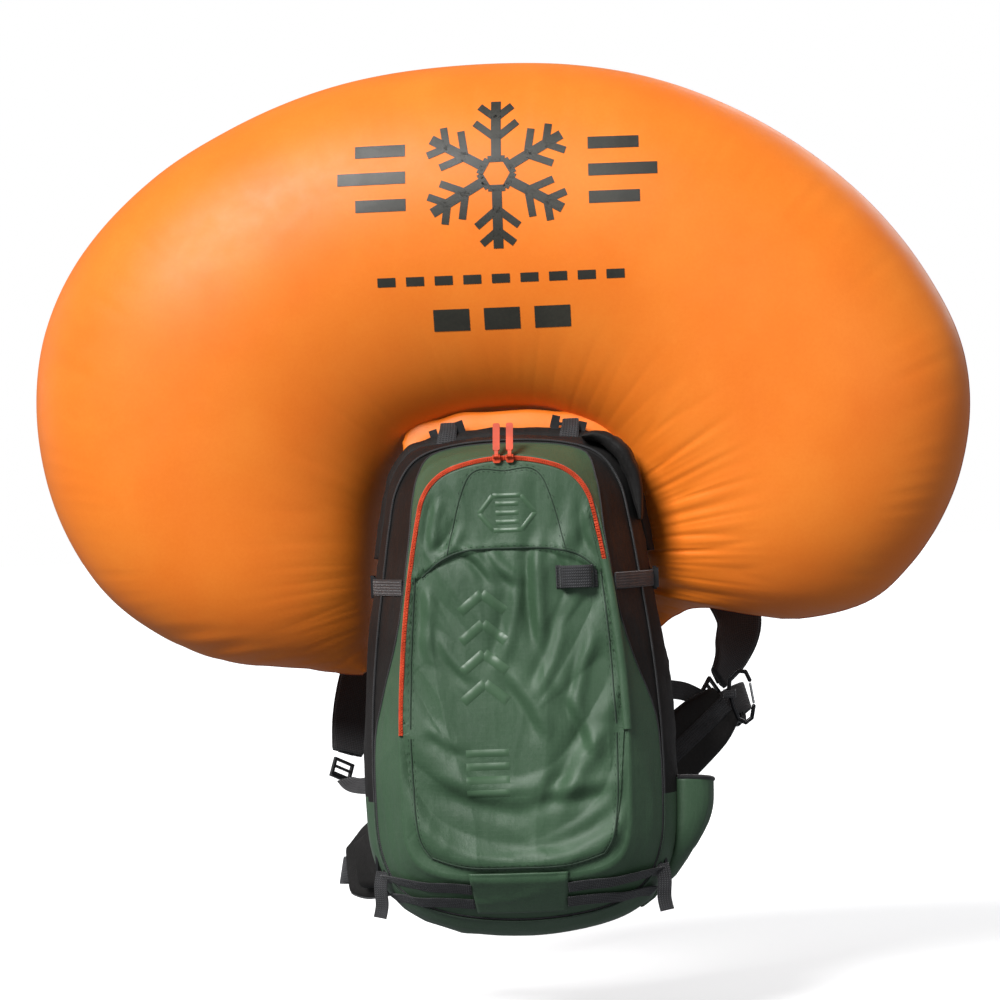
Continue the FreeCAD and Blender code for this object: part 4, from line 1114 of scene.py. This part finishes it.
def build_harness_webs():
    """Webbing of the harness and hip belt."""
    flat, upright, lying = (1, 0, 0), (0, 0, 1), (0, 1, 0)
    lifter = ((71, -24, 462), (71, -6, 476), (72, 34, 480), (75, 76, 471))
    for side, label in ((-1, "left"), (1, "right")):
        web("lifter_" + label, "pack", "load_lifter_webbing", [((side * x, y, z), flat) for x, y, z in lifter], 20)
    web("adjuster_left", "pack", "adjuster_webbing",
        [((-240, 84, 48), (0.75, 0.6, 0.2)), ((-224, 58, 42), (0.5, 0.5, 0.7)),
         ((-190, 26, 44), (0.2, 0.2, 1)), ((-150, -4, 50), upright), ((-126, -15, 56), upright)], 24)
    web("adjuster_right", "pack", "adjuster_webbing",
        [((224, 98, 134), (0.75, 0.6, 0.1)), ((202, 70, 148), (0.4, 0.5, 0.8)),
         ((172, 36, 154), (0.2, 0.2, 1)), ((144, 4, 154), upright), ((124, -15, 152), upright)], 24)
    web("sternum_left", "pack", "sternum_webbing",
        [((-108, 236, 352), (0, 0.2, 1)), ((-84, 244, 352), upright), ((-56, 246, 350), upright)], 20)
    web("sternum_right", "pack", "sternum_webbing",
        [((134, 240, 376), (0, 0.2, 1)), ((108, 250, 372), upright), ((58, 252, 360), upright)], 20)
    web("hip_web_right", "wing_right", "hip_webbing_right",
        [((240, 74, 120), (-0.5, 0, 1)), ((266, 90, 134), (-0.5, 0, 1)), ((282, 116, 138), (-0.3, 0, 1)),
         ((276, 150, 128), upright)], 36)
    web("hip_web_left", "wing_left", "hip_webbing_left",
        [((-222, 70, -62), (0.3, 0, 1)), ((-246, 92, -70), (0.3, 0, 1)), ((-250, 122, -74), (0.1, 0, 1)),
         ((-222, 168, -80), upright)], 36)
    arch = ((-24, 447), (-24, 466), (-16, 484), (0, 491), (16, 484), (24, 466), (24, 447))
    web("haul_loop_web", "haul_loop", "haul_loop",
        [((x, -14, z), lying) for x, z in arch], (16, 17, 18, 18, 18, 17, 16))
    loop = ((252.8, 68.0), (252.8, 48.0), (256, 44.0), (264, 44.0), (267, 48.0), (267, 66.0))
    web("gear_loop_web", "wing_right", "gear_loop", [((x, y, 144.5), upright) for x, y in loop], 10)


# ---------------------------------------------------------------- details on the bag

def nearest_z(x, y, wanted):
    """Height of the bag's outline at a depth, on the part where wanted(z) holds."""
    ring = [p for p in ring_at(y) if wanted(p[1])]
    return min(ring, key=lambda p: abs(p[0] - x))[1]


WIDE_WEB = 20
UPPER_WEB_DEPTHS = (-36, -52, -70, -92, -114, -136, -156, -176, -192, -203)
SKI_WEB = [(168, -138), (154, -156), (134, -174), (110, -186), (84, -192), (58, -194)]
CLIP_WEB = [(-2, -90, 462, 24), (0, -88, 478, 24), (2, -84, 490, 22), (2, -74, 499, 20)]
SKI_TAIL = [(1, -6, 10), (4, -9, -8), (3, -10, -30), (6, -12, -46)]
SKI_RETURN = [(158, -128), (144, -144), (122, -158), (98, -168), (76, -173), (56, -175)]


def build_bag_webs():
    """Compression webbing at the sides, ski loops round the bottom and webbing over the top clips."""
    for side, label, clip_x in ((-1, "left", -78), (1, "right", 74)):
        z = 300
        stations = [((side * (side_x(y, z) + 2.2), y, z), (0, 0, 1), WIDE_WEB) for y in UPPER_WEB_DEPTHS]
        obj = strip("upper_web_" + label, stations, 2.0, WEB, 8)
        place(obj, "pack", "webbing_black", "upper_straps")
        starts = []
        for tag, line, nodes in (("web", SKI_WEB, ("ski_loops",)), ("return", SKI_RETURN, ())):
            stations = []
            for x, y in line:
                lean = min(1.0, x / 170)
                z = nearest_z(x, y, lambda v: v < 60)
                point = Vector((side * (x + 1.6 * lean), y - 1.6, z - 1.6 * (1 - lean)))
                stations.append((point, (side * 0.5 * lean, -0.75, 0.7), WIDE_WEB))
            obj = strip("ski_" + tag + "_" + label, stations, 2.0, WEB, 8)
            place(obj, "pack", "webbing_black", *nodes)
            starts.append(stations[0][0])
        tail = [starts[0] + Vector((side * x, y, z)) for x, y, z in SKI_TAIL]
        obj = strip("ski_tail_" + label, [(p, (1, side * 0.5, 0), 19) for p in tail], 2.0, WEB, 8)
        place(obj, "pack", "webbing_black")
        wrap = [((clip_x + x, y, z), (1, 0, 0), w) for x, y, z, w in CLIP_WEB]
        obj = strip("clip_web_" + label, wrap, 2.6, WEB, 8)
        place(obj, "pack", "webbing_black")


def build_bottom_patch(tree):
    """Reinforcing patch over the lower front edge."""
    rows = []
    for i in range(25):
        t = i / 24
        row = []
        for j in range(31):
            u = j / 30
            out = 1.6 + 1.2 * math.sin(math.pi * u) * math.sin(math.pi * t)
            row.append(drop(tree, (60 - 6 * t) * (2 * u - 1), -46 - 52 * t, out))
        rows.append(row)
    obj = grid_object("bottom_patch_cloth", rows, GREEN)
    thicken(obj, 1.5)
    place(obj, "pack", "shell_green", "bottom_patch")


def build_keeper(tree):
    """Keeper loop: a ribbed webbing bridge on the flap."""
    z = 307
    line = [(drop(tree, 58, z, 1.0), 28), (drop(tree, 63, z, 2.0), 28),
            ((66, -220, z), 27), ((82, -222, z), 27), ((99, -220, z), 27),
            (drop(tree, 102, z, 2.0), 28), (drop(tree, 107, z, 1.0), 28)]
    obj = strip("keeper_web", [(p, (0, 0, 1), w) for p, w in line], 2.6, WEB, 8)
    place(obj, "front_flap", "webbing_black", "keeper_loop")


def build_welds(tree):
    """Welded shapes on the front: a hexagon with bars, a column of chevrons and a block of bars."""
    made = []
    hexagon(made, tree, (2, 386), (34, 24), 6, GREEN_SMOOTH, out=1.3, raised=True)
    for k in range(3):
        z = 397 - 11 * k
        patch(made, tree, (-12, z), (16, z), 6, GREEN_SMOOTH, out=1.3, raised=True)
    for k in range(4):
        z = 268 - 36 * k
        for side in (-1, 1):
            patch(made, tree, (-32 + side * 27, z), (-32, z + 22), 12, GREEN_SMOOTH, out=1.5, raised=True)
    place(merge(made, "welded_marks"), "front_flap", "shell_green")
    made = []
    for k in range(4):
        z = 98 - 16 * k
        patch(made, tree, (-58, z), (-6, z), 9, GREEN_SMOOTH, out=1.4, raised=True)
    place(merge(made, "welded_bars"), "pack", "shell_green")


def build_seam(tree, name, points, body, radius=0.9):
    """A seam with a raised binding and a row of stitches on each side."""
    pts = catmull([Vector((x, 0, z)) for x, z in points], 14)
    pts = [drop(tree, p.x, p.z, 0.4) for p in pts]
    place(tube(name, pts, radius, GREEN_EDGE, 6), body, "shell_green")
    made = []
    for off in (-3.0, 3.0):
        for a, b in zip(pts[:-2:2], pts[1::2]):
            mid = (a + b) / 2
            along = (b - a).normalized()
            across = Vector((along.z, 0, -along.x)) * off
            c = drop(tree, mid.x + across.x, mid.z + across.z, 0.25)
            made.append(tube("stitch", [c - along * 1.3, c, c + along * 1.3], 0.28, GREEN_EDGE, 5))
    place(merge(made, name + "_stitches"), body, "shell_green")


def build_seams(tree):
    yoke = [(-104, 312), (-78, 332), (-50, 342), (0, 344), (52, 342), (84, 334), (106, 318)]
    build_seam(tree, "yoke_seam", yoke, "front_flap", 1.3)
    build_seam(tree, "yoke_trim", [(-72, 338), (-44, 430), (0, 437), (44, 430), (72, 338)], "front_flap", 0.6)
    for name, line, body in (("flap_seam", [(112, 312), (117, 260), (121, 200), (124, 130)], "front_flap"),
                             ("panel_seam", [(124, 118), (123, 50), (117, -2), (104, -26)], "pack")):
        for side, label in ((-1, "_left"), (1, "_right")):
            build_seam(tree, name + label, [(side * x, z) for x, z in line], body)
    build_seam(tree, "panel_foot", [(-104, -26), (-62, -38), (0, -40), (62, -38), (104, -26)], "pack")


def build_side_pocket():
    """Stretch pocket on the wearer's right, with an elastic hem."""
    rows = []
    n, m = 30, 36
    for i in range(n + 1):
        t = i / n
        z = -104 + 152 * t
        bulge = 4 + 38 * smooth(t * 1.15)
        half = 22 + 14 * smooth(t * 1.6)
        row = []
        for j in range(m + 1):
            a = -1 + 2 * j / m
            y = -82 - half * a
            x = side_x(y, z) + bulge * max(0.0, 1 - abs(a) ** 2.6) ** 0.6
            x += 1.6 * ridges((a * 0.06, 0, z * MM), (60, 1, 12), 3.0) * (1 - abs(a))
            row.append((x, y, z + 7 * a * t))
        rows.append(row)
    obj = grid_object("side_pocket_cloth", rows, GREEN)
    thicken(obj, 1.4)
    place(obj, "pack", "shell_green", "side_pocket")
    hem = tube("side_pocket_hem", [Vector(p) + Vector((0.4, 0, 0)) for p in rows[-1]], 3.0, BINDING, 8)
    place(hem, "pack", "webbing_black")


def arch(name, inner, outer, count, bow, material, fade=0):
    """A band of cloth between two lines over the bag's top, each (reach, depth, low z, wave, seed)."""
    lines = []
    for reach, y, z_low, wave, seed in (inner, outer):
        pts = []
        for k in range(-70, 71):
            x, z = WIDE_RING[k % AROUND]
            d = math.hypot(x, z - CENTRE_Z)
            x, z = scaled(x, z, (d + reach + wave * noise.noise(Vector((k * 0.16, seed, 0)))) / d)
            if z > z_low:
                pts.append(Vector((x, y, z)))
        lines.append([pts[int(k * (len(pts) - 1) / (count - 1))] for k in range(count)])
    low, high = lines
    if fade:
        shares = [0.1 + 0.9 * smooth(min(i, count - 1 - i) / fade) for i in range(count)]
        high = [a.lerp(b, share) for a, b, share in zip(low, high, shares)]
    rows = []
    for i in range(9):
        t = i / 8
        rows.append([a.lerp(b, t) + Vector((0, -bow * math.sin(math.pi * t), 0)) for a, b in zip(low, high)])
    return grid_object(name, rows, material)


def build_top():
    """Airbag opening at the top of the bag: orange flange, black collar and air neck."""
    obj = arch("flange_cloth", (-2, -64, 446, 0.0, 0.0), (35, -56, 446, 4.0, 3.0), 70, 3, ORANGE, fade=16)
    thicken(obj, 1.2)
    place(obj, "pack", "airbag_fabric", "airbag_flange")
    obj = arch("collar_cloth", (-4, -88, 330, 0.0, 0.0), (13, -78, 330, 3.0, 8.0), 100, 5, BLACK)
    thicken(obj, 1.6)
    place(obj, "pack", "webbing_black", "airbag_collar")
    neck_radius, neck_y = 23.2, -69
    rows = []
    for i in range(41):
        z = 408 + 98 * i / 40
        flat = 1.0 - 0.7 * smooth((z - 440) / 30)
        crush = 0.9 * math.sin(i * 1.9)
        row = []
        for q in (2 * math.pi * k / 40 for k in range(40)):
            x = (neck_radius + crush * math.sin(3 * q)) * math.cos(q)
            row.append((x, neck_y + 30 * (1 - flat) + neck_radius * flat * math.sin(q), z))
        rows.append(row)
    obj = grid_object("neck_cloth", rows, ORANGE, True)
    place(obj, "pack", "airbag_fabric", "airbag_neck")


def build_corner_cover():
    """Padded cover at the top right corner."""
    stations = []
    for x, out, z in ((88, 0, None), (112, 3, None), (134, 2, None), (150, 0, 418), (158, -2, 372)):
        if z is None:
            z = nearest_z(x, -112, lambda v: v > CENTRE_Z)
        stations.append(((x + 4 + out, -120, z + 2 + out), (0, 1, 0), 66 if x < 150 else 50))
    obj = strip("corner_cover", stations, 19, BLACK, 12, rounded=2.2, taper=0.82)
    for v in obj.data.vertices:
        v.co += v.co.normalized() * 0.0038 * noise.noise(v.co * 52)
    place(obj, "pack", "panel_black")


# ---------------------------------------------------------------- studio

def area(name, at, look_z, size, power):
    """A square soft light at a place, turned to a height on the pack's middle line."""
    light = bpy.data.lights.new(name, "AREA")
    light.shape = "RECTANGLE"
    light.size = light.size_y = size
    light.energy = power
    obj = bpy.data.objects.new(name, light)
    bpy.context.collection.objects.link(obj)
    obj.location = at
    obj.rotation_euler = (Vector((0, 0, look_z)) - Vector(at)).to_track_quat("-Z", "Y").to_euler()


FLOOR_Z, FLOOR_HALF = -262, 40000
TARGET, DISTANCE = (-0.0055, -0.215, 0.4017), 4.0


def build_stage():
    """Pale floor, soft light, white air for the camera only, and the camera."""
    g = Graph("studio_pale")
    g.link(g.ramp(g.noise(0.6, 2.0), [(0.3, (0.88, 0.88, 0.88)), (0.7, (0.90, 0.90, 0.90))]), "Base Color")
    g.set(Roughness=0.9, Emission_Color=(1, 1, 1, 1), Emission_Strength=0.55)
    across = (-FLOOR_HALF, 0, FLOOR_HALF)
    floor = grid_object("studio_floor", [[(x, y, FLOOR_Z) for x in across] for y in across], g.mat)
    floor.visible_diffuse = False
    floor.visible_glossy = False
    sun = bpy.data.lights.new("key_sun", "SUN")
    sun.energy, sun.angle = 3.9, math.radians(22)
    obj = bpy.data.objects.new("key_sun", sun)
    bpy.context.collection.objects.link(obj)
    obj.rotation_euler = Vector((1.3, 2.3, -2.0)).to_track_quat("-Z", "Y").to_euler()
    area("fill_soft", (2.4, -2.6, 1.0), 0.35, 1.6, 8)
    area("back_soft", (1.4, 2.8, 1.9), 0.4, 1.8, 26)
    area("left_rim", (-2.6, 1.0, 1.0), 0.4, 1.4, 4)
    world = bpy.data.worlds.new("studio_air")
    world.use_nodes = True
    tree = world.node_tree
    air = tree.nodes["Background"]
    air.inputs[0].default_value = (0.90, 0.94, 1.0, 1)
    air.inputs[1].default_value = 0.22
    white = tree.nodes.new("ShaderNodeBackground")
    white.inputs[0].default_value = (1, 1, 1, 1)
    rays, mix = tree.nodes.new("ShaderNodeLightPath"), tree.nodes.new("ShaderNodeMixShader")
    tree.links.new(rays.outputs["Is Camera Ray"], mix.inputs[0])
    tree.links.new(air.outputs[0], mix.inputs[1])
    tree.links.new(white.outputs[0], mix.inputs[2])
    tree.links.new(mix.outputs[0], tree.nodes["World Output"].inputs["Surface"])
    bpy.context.scene.world = world
    bpy.context.scene.view_settings.view_transform = "Standard"

    azimuth, roll = math.radians(4), math.radians(2.1)
    forward = Vector((-math.sin(azimuth), math.cos(azimuth), 0))
    right, up = Vector((math.cos(azimuth), math.sin(azimuth), 0)), Vector((0, 0, 1))
    cam_right = right * math.cos(roll) - up * math.sin(roll)
    cam_up = up * math.cos(roll) + right * math.sin(roll)
    camera = bpy.data.cameras.new("front_view")
    camera.sensor_width = 36
    camera.lens = 120
    obj = bpy.data.objects.new("front_view", camera)
    bpy.context.collection.objects.link(obj)
    frame_turn = Matrix((cam_right, cam_up, -forward)).transposed().to_4x4()
    obj.matrix_world = Matrix.Translation(Vector(TARGET) - forward * DISTANCE) @ frame_turn
    bpy.context.scene.camera = obj


paint_frame()
airbag = build_airbag()
shell = build_front_shell()
flap = build_flap()
build_zip_cover()
build_main()
build_rims()
build_teeth("zip_flap", -2.8, -0.3, -1.0, "front_flap", "zipper_tape_flap")
build_teeth("zip_body", 0.3, 2.8, 1.0, "pack", "zipper_tape_body")
bpy.context.view_layer.update()
build_print(surface_tree(airbag))
front = surface_tree(shell, flap)
build_bag_webs()
build_bottom_patch(front)
build_keeper(front)
build_welds(front)
build_seams(front)
build_side_pocket()
build_top()
build_corner_cover()
build_trigger_sleeve()
build_pads()
build_harness_webs()
build_stage()
